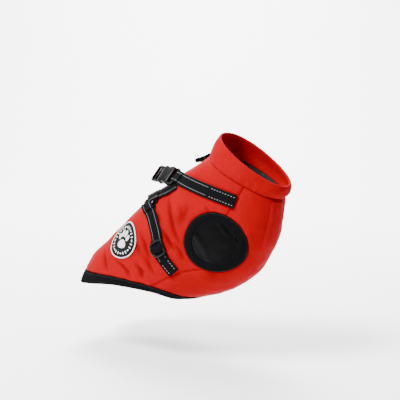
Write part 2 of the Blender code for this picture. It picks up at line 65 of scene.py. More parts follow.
# Sections of the body at even steps from the hem to the neck seam, and of the collar above it.
# back x, back z, chest x, chest z, half width
SECTIONS = np.array([
    (-212.0, -186.5, -4.0, -199.0, 76.0),
    (-192.0, -150.0, 29.0, -191.0, 77.0),
    (-160.5, -121.5, 57.0, -181.0, 76.0),
    (-130.5, -94.5, 82.0, -166.0, 74.0),
    (-101.5, -68.0, 104.0, -147.0, 71.0),
    (-70.5, -45.0, 120.0, -122.0, 67.0),
    (-39.0, -22.0, 133.0, -96.0, 62.0),
    (-5.0, -1.0, 139.5, -66.5, 55.0),
    (30.5, 20.5, 143.0, -37.0, 48.0),
])
COLLAR_SECTIONS = np.array([
    (30.5, 20.5, 143.0, -37.0, 48.0),
    (37.0, 36.0, 149.5, -29.5, 47.5),
    (46.0, 52.0, 152.5, -20.5, 43.0),
])
HEM_ARCH = np.array([-0.012, -0.015, 0.020, 0.075, 0.090, 0.022, 0.0])
ARMHOLE_X, ARMHOLE_Z = 66.4, -99.5
ARMHOLE_HALF_LENGTH, ARMHOLE_HALF_HEIGHT = 45.0, 43.7
ARMHOLE_MIDDLE_ROW = 0.60
NECK_SEAM_ANGLE, HEM_SEAM_ANGLE, SEAM_BEND = 111.5, 110.5, 6
ROW_LENGTH, ANGLE_LENGTH = 270.0, 1.15
CHEST_NARROWER = 0.78

# Soft folds: side, from row, from angle, to row, to angle, half width, height (minus: trough)
FOLDS = np.array([
    (RIGHT, 0.720, 46.0, 0.570, 86.0, 9.0, -2.2),
    (RIGHT, 0.705, 72.0, 0.615, 87.0, 8.0, -1.4),
    (RIGHT, 0.440, 60.0, 0.290, 98.0, 11.0, -2.2),
    (RIGHT, 0.275, 82.0, 0.120, 100.0, 10.0, -1.8),
    (RIGHT, 0.210, 58.0, 0.100, 74.0, 10.0, -1.6),
    (LEFT, 0.700, 50.0, 0.560, 88.0, 10.0, -2.0),
    (LEFT, 0.430, 55.0, 0.310, 94.0, 10.0, -2.0),
    (LEFT, 0.260, 76.0, 0.110, 96.0, 11.0, -1.9),
])
# Creases of the shell, which only the looks have: side, half width, height, then row and angle of its
# points.
CREASES = (
    (RIGHT, 2.4, -1.9, (0.716, 47.0), (0.675, 59.2), (0.632, 69.8), (0.586, 80.4), (0.549, 89.8),
     (0.518, 97.1)),
    (RIGHT, 3.6, -1.3, (0.730, 66.9), (0.687, 75.7), (0.623, 83.1)),
    (RIGHT, 3.0, -1.0, (0.757, 71.6), (0.712, 77.9), (0.654, 82.8)),
    (RIGHT, 2.8, -1.9, (0.549, 73.5), (0.502, 87.3), (0.474, 95.4)),
    (RIGHT, 2.6, -1.8, (0.460, 58.0), (0.422, 69.8), (0.375, 80.0), (0.331, 90.0)),
    (RIGHT, 2.2, -1.5, (0.240, 40.0), (0.185, 55.0), (0.121, 68.3)),
    (RIGHT, 2.4, -1.7, (0.231, 60.9), (0.219, 72.0), (0.188, 82.3), (0.127, 89.9)),
    (RIGHT, 2.8, -1.9, (0.283, 79.6), (0.237, 90.1), (0.167, 98.1)),
    (RIGHT, 2.5, -1.6, (0.355, 77.9), (0.314, 89.0), (0.252, 100.9)),
    (RIGHT, 2.6, -1.5, (0.516, 91.6), (0.486, 99.5), (0.442, 107.0)),
    (RIGHT, 2.8, -1.3, (0.402, 58.1), (0.369, 69.8), (0.331, 78.9)),
    (RIGHT, 3.0, -1.1, (0.605, 55.4), (0.567, 67.9)),
    (RIGHT, 3.0, -1.0, (0.800, 88.0), (0.788, 92.0), (0.775, 97.0)),
    (RIGHT, 5.0, -0.9, (0.300, 0.5), (0.270, 8.0), (0.240, 18.0)),
    (RIGHT, 4.5, -0.8, (0.860, 2.0), (0.830, 5.5), (0.800, 10.0)),
    (RIGHT, 4.5, -0.9, (0.720, 126.0), (0.685, 129.0), (0.640, 134.0)),
    (RIGHT, 4.5, -0.9, (0.480, 128.0), (0.440, 133.0), (0.400, 140.0)),
    (LEFT, 2.6, -1.8, (0.700, 50.0), (0.662, 61.0), (0.620, 72.0), (0.570, 84.0), (0.530, 94.0)),
    (LEFT, 3.0, -1.4, (0.715, 70.0), (0.680, 77.0), (0.640, 85.0)),
    (LEFT, 2.8, -1.7, (0.545, 80.0), (0.505, 89.0), (0.476, 96.0)),
    (LEFT, 2.6, -1.7, (0.435, 54.0), (0.400, 67.0), (0.352, 79.0), (0.300, 94.0)),
    (LEFT, 2.4, -1.6, (0.265, 74.0), (0.218, 84.0), (0.155, 96.0)),
    (LEFT, 2.4, -1.4, (0.215, 50.0), (0.165, 60.0), (0.108, 67.0)),
    (LEFT, 2.6, -1.5, (0.340, 80.0), (0.290, 92.0), (0.240, 101.0)),
    (LEFT, 2.5, -1.4, (0.205, 64.0), (0.180, 77.0), (0.118, 86.0)),
    (LEFT, 2.8, -1.2, (0.590, 56.0), (0.550, 66.0)),
    (LEFT, 5.0, -0.9, (0.500, 3.0), (0.465, 12.0), (0.430, 22.0)),
    (LEFT, 5.0, -0.9, (0.160, 8.0), (0.142, 18.0), (0.120, 30.0)),
    (LEFT, 4.5, -0.9, (0.710, 126.0), (0.670, 130.0), (0.630, 136.0)),
    (LEFT, 4.5, -0.9, (0.470, 128.0), (0.435, 134.0), (0.400, 142.0)),
)

# Paths of webbing and trim on the skin, for either side: row, angle from the back line, lift,
# and how many degrees its cut end is turned from square.
FRONT_STRAP_RIGHT_PATH = np.array([
    (0.903, 111.5, 0.0, 0.0), (0.892, 95.9, 0.0, 0.0), (0.875, 78.0, 0.0, 0.0),
    (0.852, 57.5, 0.0, 0.0), (0.832, 41.5, 0.8, 0.0), (0.817, 31.0, 2.8, 0.0),
])
FRONT_STRAP_LEFT_PATH = np.array([
    (0.903, 111.5, 0.0, 0.0), (0.892, 95.9, 0.0, 0.0), (0.873, 78.0, 0.0, 0.0),
    (0.845, 57.5, 0.0, 0.0), (0.795, 32.0, 0.0, 0.0), (0.750, 14.0, 0.4, 0.0),
])
BACK_BAND_PATH = np.array([
    (0.708, 34.6, 0.0, 0.0), (0.690, 33.4, 0.0, 10.0), (0.671, 32.4, 0.0, 24.0), (0.652, 31.6, 0.6, 36.0),
])
REAR_STRAP_PATH = np.array([
    (0.590, 40.6, 0.6, -34.0), (0.572, 54.7, 0.0, 0.0), (0.526, 69.0, 0.0, 0.0),
    (0.487, 77.0, 0.0, 0.0), (0.446, 83.4, 0.0, 0.0),
])
STRAP_END_PATH = np.array([
    (0.432, 86.0, 0.0, 0.0), (0.395, 94.5, 0.0, 0.0), (0.365, 103.0, 0.0, 0.0), (0.337, 110.5, 0.0, 0.0),
])
NAPE_TAB_PATH = np.array([
    (0.990, 0.0, 0.0, 0.0), (0.950, 0.0, 0.6, 0.0), (0.912, 0.0, 1.8, 0.0),
])
PLACKET_PATH = np.array([
    (0.985, -170.5, 0.0, 0.0), (0.890, -171.5, 0.0, 0.0),
    (0.790, -172.0, 0.0, 0.0), (0.700, -172.5, 0.0, 0.0),
])
# The left front strap leaves the cloth for the buckle: middle x, y, z, then its way across.
STRAP_TO_BUCKLE = np.array([
    (-43.5, 6.5, -22.6, 0.62, -0.63, 0.45),
    (-49.0, -3.0, -20.8, 0.64, -0.68, 0.25),
    (-54.0, -12.0, -18.0, 0.52, -0.78, -0.18),
    (-59.1, -21.4, -14.8, -0.19, -0.70, -0.69),
])
# The right back band goes on under the buckle, and a patch lies under each ring, only in the looks.
BAND_UNDER_BUCKLE = np.array([(0.795, 40.2, -0.6, 0.0), (0.762, 38.8, -0.5, 0.0), (0.730, 37.0, -0.3, 0.0)])
RING_PATCH_PATH = np.array([
    (0.671, 32.4, -0.3, 24.0), (0.635, 27.5, -0.3, 10.0),
    (0.612, 29.0, -0.3, -10.0), (0.587, 42.1, -0.3, -34.0),
])
BADGE_ROW, BADGE_ANGLE = 0.352, -51.8
SLIDER_ROW, SLIDER_ANGLE = 0.440, 84.6
RING_ROW, RING_ANGLE = 0.608, 34.0
BUCKLE_MIDDLE = np.array([-40.5, -29.7, -12.0])
BUCKLE_ALONG = np.array([-0.97, 0.24, 0.03])
BUCKLE_FACE = np.array([-0.19, -0.70, 0.64])
SOCKET_BAR = -24.3

# ---------------------------------------------------------------- sizes of the looks
NO_TRIANGLES = np.zeros((0, 3), int)
PANEL_ROWS = (52, 80, 30)
BACK_COLUMNS, CHEST_COLUMNS = 270, 140
COLLAR_COLUMNS, HEM_COLUMNS, ARMHOLE_COLUMNS = 300, 1400, 640
BINDING_STEPS = (14, 9, 10)
# Strengths of the painted shade that darkens the cloth's colour inside the creases and along its sewn edges.
CREASE_SHADE, SEAM_SHADE = 0.50, 0.50
# The cloth beside a crease: share of its depth, and place and spread in half widths.
RIDGE_SHARE, RIDGE_PLACE, RIDGE_SPREAD = 0.3, 2.1, 1.1
PUCKER_HEIGHT, PUCKER_PITCH, PUCKER_FADE = 0.34, 13.7, 9.0
GATHER_HEIGHT, GATHERS, GATHER_FADE = 0.40, 19.0, 8.0
COLLAR_RISE, COLLAR_PUFF, COLLAR_LAP = 29.0, 1.3, 1.1
PLACKET_WALL = 0.8
RIB_PITCH, RIB_HEIGHT, RIB_INSIDE, BINDING_SEAM = 1.7, 0.16, 0.15, 0.14
HEM_ROUND, ARMHOLE_ROUND = 614.0, 265.0
GREY_LINE_PLACE, GREY_LINE_HALF = 0.30, 0.021
SEWN_START, SEWN_END_FROM, SEWN_END = 46.0, 15.0, 24.0
PATCH_WIDTH, PATCH_THICK, PATCH_LIFT = 29.0, 0.5, 0.9
LOOP_CLEAR, LOOP_BACK = 0.15, 9.0
FLAT_STEPS, EDGE_STEPS, WIRE_TURNS, BAR_TURNS = 11, 5, 14, 12
SLIDER_RIM, RIM_INSET = 3.4, 1.6
# Buckle, along its length: the shell, its waist, and the wire loops of the socket's bar and of the plug.
SHELL_LENGTH, SHELL_CORNER, SHELL_CENTRE, SHELL_ROUNDING = 23.0, 4.0, -5.5, 2.2
WAIST_DEPTH, WAIST_PLACE, WAIST_SPAN = 2.4, -4.5, 4.2
LOOP_INSET, LOOP_CORNER, LOOP_SQUARE = 4.6, 2.6, 0.7
SOCKET_LOOP_LENGTH, SOCKET_LOOP_WIRE = 12.4, 3.4
PLUG_LOOP_LENGTH, PLUG_LOOP_CENTRE, PLUG_LOOP_WIRE, PLUG_BARS = 14.6, 14.4, 2.8, (8.6, 15.0)
# Raised blocks of the socket: x, y, length, width, thickness, rounding.
LUG_LENGTH, LUG_WIDTH, LUG_Y, LUG_THICK = 12.0, 3.4, BUCKLE_WIDTH / 2 - 3.2, BUCKLE_THICK * 0.55
SOCKET_BLOCKS = (
    (-7.5, -LUG_Y, LUG_LENGTH, LUG_WIDTH, LUG_THICK, 1.2),
    (-7.5, LUG_Y, LUG_LENGTH, LUG_WIDTH, LUG_THICK, 1.2),
    (-12.0, 0.0, 3.0, BUCKLE_WIDTH - 9.0, BUCKLE_THICK + 1.0, 1.2),
    (2.6, 0.0, 2.2, BUCKLE_WIDTH - 6.0, BUCKLE_THICK + 0.8, 1.0),
)
BADGE_TOP = BADGE_THICK - 0.2
# Pads of the paw print: middle, half length and half width, tilt, height over the disc.
PAW_HEEL = ((5.4, 0.0), (6.8, 8.8), 0.0, 0.5)
PAW_TOES = (
    ((-5.2, -10.4), (5.0, 3.1), 24.0, 0.45),
    ((-10.6, -3.9), (5.6, 3.3), 7.0, 0.45),
    ((-10.6, 3.9), (5.6, 3.3), -7.0, 0.45),
    ((-5.2, 10.4), (5.0, 3.1), -24.0, 0.45),
)
DASHES, DASH_CIRCLE, DASH_RISE = 24, 20.9, 0.3
# Stitches: length, gap, thickness.
SEWN_STITCH, PLACKET_STITCH, BINDING_STITCH = (2.6, 1.9, 1.1), (2.2, 1.0, 0.35), (2.4, 1.2, 0.4)

LOOK_AT = (2.0, 0.0, -50.0)
VIEW_AZIMUTH, VIEW_ELEVATION, VIEW_DISTANCE = 35.0, 8.0, 1420.0
LENS, FILM = 85.2, 36.0
FLOOR_HEIGHT, FLOOR_NEAR, FLOOR_FAR, FLOOR_BEND = -290.0, -3000.0, 1500.0, 1600.0
WALL_HEIGHT, FLOOR_HALF_WIDTH = 5200.0, 5200.0
SKY = 0.55
# Lamps: name, place right, up and towards the camera, what it aims at in the same way, metres across,
# and watts. The key is high on the left, and the wall lamp only lights the sweep behind the coat.
LAMPS = (
    ("key", (-1.1, 1.5, 1.1), (0.0, 0.0, 0.0), 0.9, 165.0),
    ("fill", (1.4, 0.1, 1.6), (0.0, 0.0, 0.0), 1.4, 2.0),
    ("top", (-0.2, 1.9, -0.3), (0.0, 0.0, 0.0), 1.0, 40.0),
    ("wall", (0.0, 2.2, -1.2), (0.0, 0.6, -2.6), 1.6, 300.0),
)


# ---------------------------------------------------------------- the skin
def between_rows(table, row):
    """Values between a table's even rows: a cubic through the four nearest rows."""
    steps = len(table) - 1
    place = np.asarray(row, float) * steps
    first = np.clip(np.floor(place), 0, steps - 1).astype(int)
    part = (place - first)[..., None]
    ends = np.vstack([2 * table[0] - table[1], table, 2 * table[-1] - table[-2]])
    a, b, c, d = ends[first], ends[first + 1], ends[first + 2], ends[first + 3]
    return b + 0.5 * part * (c - a + part * (2 * a - 5 * b + 4 * c - d + part * (3 * (b - c) + d - a)))


def section_point(table, row, angle):
    """Back point plus (1 - cos) / 2 of the way to the chest point, and out sideways by a blunt sine."""
    values = between_rows(table, row)
    turn = np.radians(angle)
    down = (1 - np.cos(turn)) / 2
    side = np.sign(np.sin(turn)) * np.abs(np.sin(turn)) ** BLUNT
    x = values[..., 0] + down * (values[..., 2] - values[..., 0])
    z = values[..., 1] + down * (values[..., 3] - values[..., 1])
    y = values[..., 4] * side * (1 + EGG * np.cos(turn))
    return np.stack(np.broadcast_arrays(x, y, z), axis=-1)


def both(row, angle):
    """Rows and angles as two arrays of one shape."""
    return np.broadcast_arrays(np.asarray(row, float), np.asarray(angle, float))


def wrapped(angle):
    """The same angle between -180 and 180."""
    return (np.asarray(angle, float) + 180) % 360 - 180


def body_skin(row, angle):
    """A section of the body, its row moved by the hem's arch, which fades out up the sides."""
    row, angle = both(row, angle)
    fade = np.clip(1 - row / HEM_ARCH_END, 0, None) ** 2
    arch = between_rows(HEM_ARCH[:, None], np.abs(wrapped(angle)) / 180)[..., 0]
    return section_point(SECTIONS, row + arch * fade, angle)


def collar_skin(row, angle):
    """A section of the collar, from its seam at row 0 to its top at row 1."""
    return section_point(COLLAR_SECTIONS, *both(row, angle))


def unit(vectors):
    """Vectors made one long."""
    return vectors / np.linalg.norm(vectors, axis=-1, keepdims=True)


def outward(skin, row, angle):
    """Cross product of the two slopes of a skin, made one long."""
    along = skin(row + 0.002, angle) - skin(row - 0.002, angle)
    around = skin(row, angle + 0.4) - skin(row, angle - 0.4)
    return unit(np.cross(along, around))


def hem_top(angle):
    """Row of the hem band's upper edge: a bell makes the band wider along the flanks."""
    off_widest = np.abs(wrapped(angle)) - HEM_WIDEST
    return HEM_BAND * (1 + HEM_WIDEN * np.exp(-(off_widest / HEM_WIDE_SPAN) ** 2))


def above_hem(row, angle):
    """Rows of a panel moved up to the hem band's upper edge, less and less up to the armhole's tip."""
    share = np.clip((LOWER_TIP - row) / (LOWER_TIP - HEM_BAND), 0, 1)
    return row + (hem_top(angle) - HEM_BAND) * share


def lengths_along(points):
    """Running length along the first axis of an array of points."""
    steps = np.linalg.norm(np.diff(points, axis=0), axis=-1)
    return np.concatenate([np.zeros((1, *steps.shape[1:])), np.cumsum(steps, axis=0)])


def laid_out(row, angle):
    """Rows and angles as millimetres up and round the coat, which is near enough for folds."""
    return np.stack([row * ROW_LENGTH, angle * ANGLE_LENGTH], axis=-1)


def off_line(place, start, end):
    """How far along a straight line from 0 to 1 a place lies, and how far off it."""
    line = end - start
    along = np.clip(((place - start) @ line) / (line @ line), 0, 1)
    return along, np.linalg.norm(place - start - along[..., None] * line, axis=-1)


def fold_sum(row, angle):
    """Sum over the soft folds: height, times a bell across the line, times a hump along it."""
    place = laid_out(row, angle)
    total = np.zeros(place.shape[:-1])
    for side, row_a, angle_a, row_b, angle_b, half_width, height in FOLDS:
        along, away = off_line(place, laid_out(row_a, side * angle_a), laid_out(row_b, side * angle_b))
        total += height * np.exp(-(away / half_width) ** 2) * (0.35 + 0.65 * np.sin(math.pi * along))
    return total


def crease_parts(row, angle):
    """How deep the creases are at a place, and how high the cloth is pushed up beside them.

    Each crease is a bent line. Across it the trough is a bell, with a lower bell on both sides of it; both
    fade towards its two ends.
    """
    place = laid_out(row, angle)
    trough, ridge = np.zeros(place.shape[:-1]), np.zeros(place.shape[:-1])
    for side, half_width, height, *spots in CREASES:
        line = np.array([laid_out(r, side * a) for r, a in spots])
        run = lengths_along(line)
        away, at = np.full(place.shape[:-1], np.inf), np.zeros(place.shape[:-1])
        for start, end, before, after in zip(line[:-1], line[1:], run[:-1], run[1:]):
            along, off = off_line(place, start, end)
            at = np.where(off < away, before + along * (after - before), at)
            away = np.minimum(away, off)
        hump = np.sin(math.pi * np.clip(at / run[-1], 0.02, 0.98)) ** 0.7
        trough += height * hump * np.exp(-(away / half_width) ** 2)
        beside = (away / half_width - RIDGE_PLACE) / RIDGE_SPREAD
        ridge -= RIDGE_SHARE * height * hump * np.exp(-beside ** 2)
    return trough, ridge


def raised(skin, row, angle, height):
    """Points of a skin moved out along its normal by a height."""
    return skin(row, angle) + outward(skin, row, angle) * np.asarray(height)[..., None]


def cloth(row, angle, lift=0.0):
    """The skin moved out by the soft folds and a lift, as in the solids."""
    row, angle = both(row, angle)
    return raised(body_skin, row, angle, fold_sum(row, angle) + lift)


def unevenness(row, angle):
    """Slow waves of thin wadding: six sines of different slant and length, about 0.3 mm up and down."""
    u, v = row * ROW_LENGTH, angle * ANGLE_LENGTH
    total = np.zeros(np.broadcast(u, v).shape)
    waves = ((61, 47, 0.3), (37, 83, 1.9), (29, -41, 4.1), (97, 31, 2.2), (23, 59, 5.2), (-43, 26, 0.9))
    for k, (length_u, length_v, start) in enumerate(waves):
        total = total + np.sin(2 * math.pi * (u / length_u + v / length_v) + start) * (0.13 - 0.012 * k)
    return total


# ---------------------------------------------------------------- armholes and seams
def armhole_crossing(row):
    """Where a section's line enters and leaves the armhole's ellipse: the roots of a quadratic."""
    values = between_rows(SECTIONS, row)
    size = np.array([ARMHOLE_HALF_LENGTH, ARMHOLE_HALF_HEIGHT])
    start = (values[..., 0:2] - np.array([ARMHOLE_X, ARMHOLE_Z])) / size
    step = (values[..., 2:4] - values[..., 0:2]) / size
    a = (step * step).sum(-1)
    b = (start * step).sum(-1)
    inside = b * b - a * ((start * start).sum(-1) - 1)
    reach = np.sqrt(np.maximum(inside, 0))
    return (-b - reach) / a, (-b + reach) / a, inside


def angle_of_share(share):
    """Angle at which a section is a given share of the way from its back point to its chest point."""
    return np.degrees(np.arccos(np.clip(1 - 2 * share, -1, 1)))


def armhole_tip(low, high):
    """Row at which a section only touches the armhole, by halving."""
    for _ in range(40):
        middle = (low + high) / 2
        if armhole_crossing(middle)[2] > 0:
            low = middle
        else:
            high = middle
    return low


LOWER_TIP = armhole_tip(ARMHOLE_MIDDLE_ROW, 0.30)
UPPER_TIP = armhole_tip(ARMHOLE_MIDDLE_ROW, 0.95)


def seam_angle(row):
    """Angle of the side seam below the armhole and of the shoulder seam above it."""
    low_angle = angle_of_share(armhole_crossing(LOWER_TIP)[0])
    high_angle = angle_of_share(armhole_crossing(UPPER_TIP)[0])
    side_seam = HEM_SEAM_ANGLE + (low_angle - HEM_SEAM_ANGLE) * np.clip(row / LOWER_TIP, 0, 1) ** SEAM_BEND
    up = np.clip((row - UPPER_TIP) / (1 - UPPER_TIP), 0, 1)
    return np.where(row < ARMHOLE_MIDDLE_ROW, side_seam, high_angle + (NECK_SEAM_ANGLE - high_angle) * up)


def panel_edges(row):
    """Angles at which the back panel ends and the chest panel begins: the seam, or the armhole's edge."""
    enter, leave, _ = armhole_crossing(row)
    open_here = (row > LOWER_TIP) & (row < UPPER_TIP)
    gap = SEAM_GAP / 2 / ANGLE_LENGTH
    back = np.where(open_here, angle_of_share(enter), seam_angle(row)) - gap
    chest = np.where(open_here, angle_of_share(leave), seam_angle(row)) + gap
    return back, chest


def panel_rows():
    """Rows of a panel: even below and above the armhole, and closer near its two tips."""
    below, beside, above = PANEL_ROWS
    swing = (1 - np.cos(np.linspace(0, math.pi, beside + 1))) / 2
    low = np.linspace(HEM_BAND + SEAM_GAP / ROW_LENGTH, LOWER_TIP, below + 1)
    middle = LOWER_TIP + (UPPER_TIP - LOWER_TIP) * swing
    high = np.linspace(UPPER_TIP, 1 - SEAM_GAP / ROW_LENGTH, above + 1)
    return np.concatenate([low, middle[1:-1], high])


def row_and_angle_at(x, z, side):
    """Row and angle of the skin point that is seen at x, z square from the side, by halving."""
    low, high = np.full(np.shape(x), HEM_ARCH_END), np.full(np.shape(x), 1.0)
    for _ in range(40):
        row = (low + high) / 2
        values = between_rows(SECTIONS, row)
        step_x, step_z = values[..., 2] - values[..., 0], values[..., 3] - values[..., 1]
        above = step_x * (z - values[..., 1]) - step_z * (x - values[..., 0]) > 0
        low, high = np.where(above, row, low), np.where(above, high, row)
    share = ((x - values[..., 0]) * step_x + (z - values[..., 1]) * step_z) / (step_x ** 2 + step_z ** 2)
    return row, side * angle_of_share(share)


def armhole_ring(turn, inset, side):
    """Rows and angles round the armhole: its ellipse in the side view, drawn in by an inset."""
    x = ARMHOLE_X + (ARMHOLE_HALF_LENGTH - inset) * np.cos(turn)
    z = ARMHOLE_Z - side * (ARMHOLE_HALF_HEIGHT - inset) * np.sin(turn)
    return row_and_angle_at(x, z, side)


def off_the_armhole(points):
    """Millimetres between a point and the armhole's edge, as seen from the side."""
    out = np.hypot((points[..., 0] - ARMHOLE_X) / ARMHOLE_HALF_LENGTH,
                   (points[..., 2] - ARMHOLE_Z) / ARMHOLE_HALF_HEIGHT)
    return np.maximum(out - 1, 0) * ARMHOLE_HALF_LENGTH


# ---------------------------------------------------------------- making pieces
def signed_volume(points, quads, triangles):
    """Six times the volume, from the corner products of every face: minus if the faces point in."""
    fans = np.concatenate([quads[:, [0, 1, 2]], quads[:, [0, 2, 3]], triangles])
    a, b, c = points[fans[:, 0]], points[fans[:, 1]], points[fans[:, 2]]
    return float((a * np.cross(b, c)).sum())


def mesh_piece(name, points, quads, material, uv=None, triangles=NO_TRIANGLES, shade=None):
    """One object from points in millimetres and its four- and three-sided faces.

    A piece with triangles is closed, and is turned over if its faces point in. shade, painted shade from 0 to
    1 a point, is kept as the attribute "fold", which darkens the cloth's colour inside a crease and along a
    seam.
    """
    points = points.reshape(-1, 3)
    corners = np.concatenate([quads.ravel(), triangles.ravel()])
    starts = np.concatenate([np.arange(len(quads)) * 4, quads.size + np.arange(len(triangles)) * 3])
    mesh = bpy.data.meshes.new(name)
    mesh.vertices.add(len(points))
    mesh.vertices.foreach_set("co", (points * MM).ravel())
    mesh.loops.add(len(corners))
    mesh.loops.foreach_set("vertex_index", corners)
    mesh.polygons.add(len(starts))
    mesh.polygons.foreach_set("loop_start", starts)
    mesh.update(calc_edges=True)
    if uv is not None:
        mesh.uv_layers.new(name="UVMap").data.foreach_set("uv", uv.reshape(-1, 2)[corners].ravel())
    if shade is not None:
        mesh.attributes.new("fold", "FLOAT", "POINT").data.foreach_set("value", shade.ravel())
    mesh.validate()
    mesh.shade_smooth()
    if len(triangles) and signed_volume(points, quads, triangles) < 0:
        mesh.flip_normals()
    mesh.materials.append(material)
    piece = bpy.data.objects.new(name, mesh)
    bpy.context.scene.collection.objects.link(piece)
    return piece


def grid_faces(rows, columns, ring_rows=False, ring_columns=False):
    """Corner numbers of the four-sided faces of a grid; a ring joins its last line to its first."""
    i = np.arange(rows if ring_rows else rows - 1)[:, None]
    j = np.arange(columns if ring_columns else columns - 1)[None, :]
    i, j = np.broadcast_arrays(i, j)
    k, m = (i + 1) % rows, (j + 1) % columns
    corners = [i * columns + j, k * columns + j, k * columns + m, i * columns + m]
    return np.stack(corners, axis=-1).reshape(-1, 4)


def walled(piece, thickness):
    """Give a sheet its wall, inwards from the outer face."""
    wall = piece.modifiers.new("wall", "SOLIDIFY")
    wall.thickness = thickness * MM
    wall.offset = -1
    return wall


def dress(piece, slot, *nodes):
    """Attach a piece to the body "root", and hide the solids that it stands for. slot, the piece's finish, is
    not used.
    """
    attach(piece, "root")
    if nodes:
        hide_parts(*nodes)


def strip(name, line, width, thick, material):
    """Webbing: a flat oval carried along a path, on the axes across and normal, its ends capped.

    The oval is two straight faces joined by half circles. UV: 0 to 1 across the strip, and millimetres
    along it.
    """
    middle, across, normal = line
    half, r = width / 2 - thick / 2, thick / 2
    top = np.stack([np.linspace(-half, half, FLAT_STEPS), np.full(FLAT_STEPS, r)], -1)
    turn = np.linspace(math.pi / 2, -math.pi / 2, EDGE_STEPS)[1:-1]
    end = np.stack([half + r * np.cos(turn), r * np.sin(turn)], -1)
    profile = np.concatenate([top, end, -top, -end])
    count, turns = len(middle), len(profile)
    points = middle[:, None] + across[:, None] * profile[:, :1] + normal[:, None] * profile[:, 1:]
    along = lengths_along(middle)
    uv = np.stack(np.broadcast_arrays(profile[:, 0] / width + 0.5, along[:, None]), -1)
    points = np.concatenate([points.reshape(-1, 3), [points[0].mean(0), points[-1].mean(0)]])
    uv = np.concatenate([uv.reshape(-1, 2), [[0.5, along[0]], [0.5, along[-1]]]])
    j = np.arange(turns)
    hub, last = np.full(turns, count * turns), (count - 1) * turns
    after = (j + 1) % turns
    caps = np.concatenate([np.stack([hub, j, after], -1), np.stack([hub + 1, last + after, last + j], -1)])
    return mesh_piece(name, points, grid_faces(count, turns, ring_columns=True), material, uv, caps)


def outward_faces(points, faces):
    """The faces of a closed shape, turned over if they point in."""
    return faces if signed_volume(points.reshape(-1, 3), faces, NO_TRIANGLES) > 0 else faces[:, ::-1]


def joined(parts):
    """The points and the faces of several shapes stacked into one."""
    sizes = [p.reshape(-1, 3).shape[0] for p, _ in parts]
    faces = [f + start for (_, f), start in zip(parts, np.cumsum([0] + sizes))]
    return np.concatenate([p.reshape(-1, 3) for p, _ in parts]), np.concatenate(faces)


def moulding(name, node, slot, parts, material):
    """Closed shapes as one dressed piece, the faces of each turned outwards."""
    points, faces = joined([(p, outward_faces(p, f)) for p, f in parts])
    dress(mesh_piece(name, points, faces, material), slot, node)


# ---------------------------------------------------------------- materials
class Finish:
    """A short way to write a material's nodes: each helper adds a node and gives back its output."""

    def __init__(self, name):
        self.material = bpy.data.materials.new(name)
        self.material.use_nodes = True
        self.tree = self.material.node_tree
        self.shader = self.tree.nodes["Principled BSDF"]

    def feed(self, socket, value):
        if hasattr(value, "is_linked"):
            self.tree.links.new(value, socket)
        else:
            socket.default_value = value

    def feed_all(self, node, inputs):
        for name, value in inputs.items():
            self.feed(node.inputs[name.replace("_", " ").title().replace("Ior", "IOR")], value)

    def add(self, kind, **inputs):
        node = self.tree.nodes.new("ShaderNode" + kind)
        self.feed_all(node, inputs)
        return node

    def made(self, **inputs):
        """Set or link the shader's inputs, and give back the finished material."""
        self.feed_all(self.shader, inputs)
        return self.material

    def where(self, kind, scale=(1, 1, 1)):
        """Coordinates: Object, in metres, or UV, in millimetres and in shares across webbing."""
        place = self.add("TexCoord").outputs[kind]
        return self.add("Mapping", vector=place, scale=scale).outputs["Vector"]

    def noise(self, vector, scale, detail, roughness=0.55):
        node = self.add("TexNoise", vector=vector, scale=scale, detail=detail, roughness=roughness)
        return node.outputs["Fac"]

    def wave(self, vector, scale, direction, distortion=0.0):
        node = self.add("TexWave", vector=vector, scale=scale, distortion=distortion, detail=1.0)
        node.bands_direction = direction
        return node.outputs["Fac"]

    def maths(self, operation, a, b=0.5, clamp=False):
        node = self.add("Math")
        node.operation = operation
        node.use_clamp = clamp
        for socket, value in zip(node.inputs, (a, b)):
            self.feed(socket, value)
        return node.outputs[0]

    def scaled(self, value, by, plus):
        """A value times one number, plus another."""
        return self.maths("ADD", self.maths("MULTIPLY", value, by), plus)

    def ramp(self, fac, low, dark, high, light):
        node = self.add("ValToRGB", fac=fac)
        for element, at, colour in zip(node.color_ramp.elements, (low, high), (dark, light)):
            element.position = at
            element.color = (*colour, 1.0)
        return node.outputs["Color"]

    def mix(self, fac, a, b):
        node = self.add("Mix")
        node.data_type = "RGBA"
        for name, value in (("Factor", fac), ("A", a), ("B", b)):
            self.feed(node.inputs[name], value)
        return node.outputs["Result"]

    def bump(self, height, strength, distance, before=None):
        node = self.add("Bump", height=height, strength=strength, distance=distance)
        if before is not None:
            self.feed(node.inputs["Normal"], before)
        return node.outputs["Normal"]


def red_shell():
    """Smooth plain-woven red polyester: a fine weave, small puckers, slow random changes of tone, and painted
    shade inside the creases and along the seams.
    """
    m = Finish("red woven shell")
    uv, place = m.where("UV"), m.where("Object")
    weave = m.maths("MULTIPLY", m.wave(uv, 0.42, "X"), m.wave(uv, 0.42, "Y"))
    rumple = m.noise(place, 130.0, 3.0, 0.5)
    soft = m.noise(place, 28.0, 3.0, 0.5)
    shade = m.ramp(soft, 0.3, (0.190, 0.0003, 0.0024), 0.7, (0.220, 0.0004, 0.0030))
    yarn = m.mix(m.maths("MULTIPLY", weave, 0.18), shade, (0.25, 0.0005, 0.0034, 1.0))
    # Painted shade: the attribute "fold" mixes the colour towards a dark red inside the creases and along the
    # seams.
    crease = m.add("Attribute")
    crease.attribute_name = "fold"
    depth = m.maths("MULTIPLY", crease.outputs["Fac"], 0.62, True)
    return m.made(base_color=m.mix(depth, yarn, (0.044, 0.0001, 0.0006, 1.0)),
                  roughness=m.scaled(rumple, 0.12, 0.50),
                  normal=m.bump(rumple, 0.16, 0.0012, m.bump(weave, 0.10, 0.0002)),
                  specular_ior_level=0.012, specular_tint=(1.0, 0.10, 0.10, 1.0))


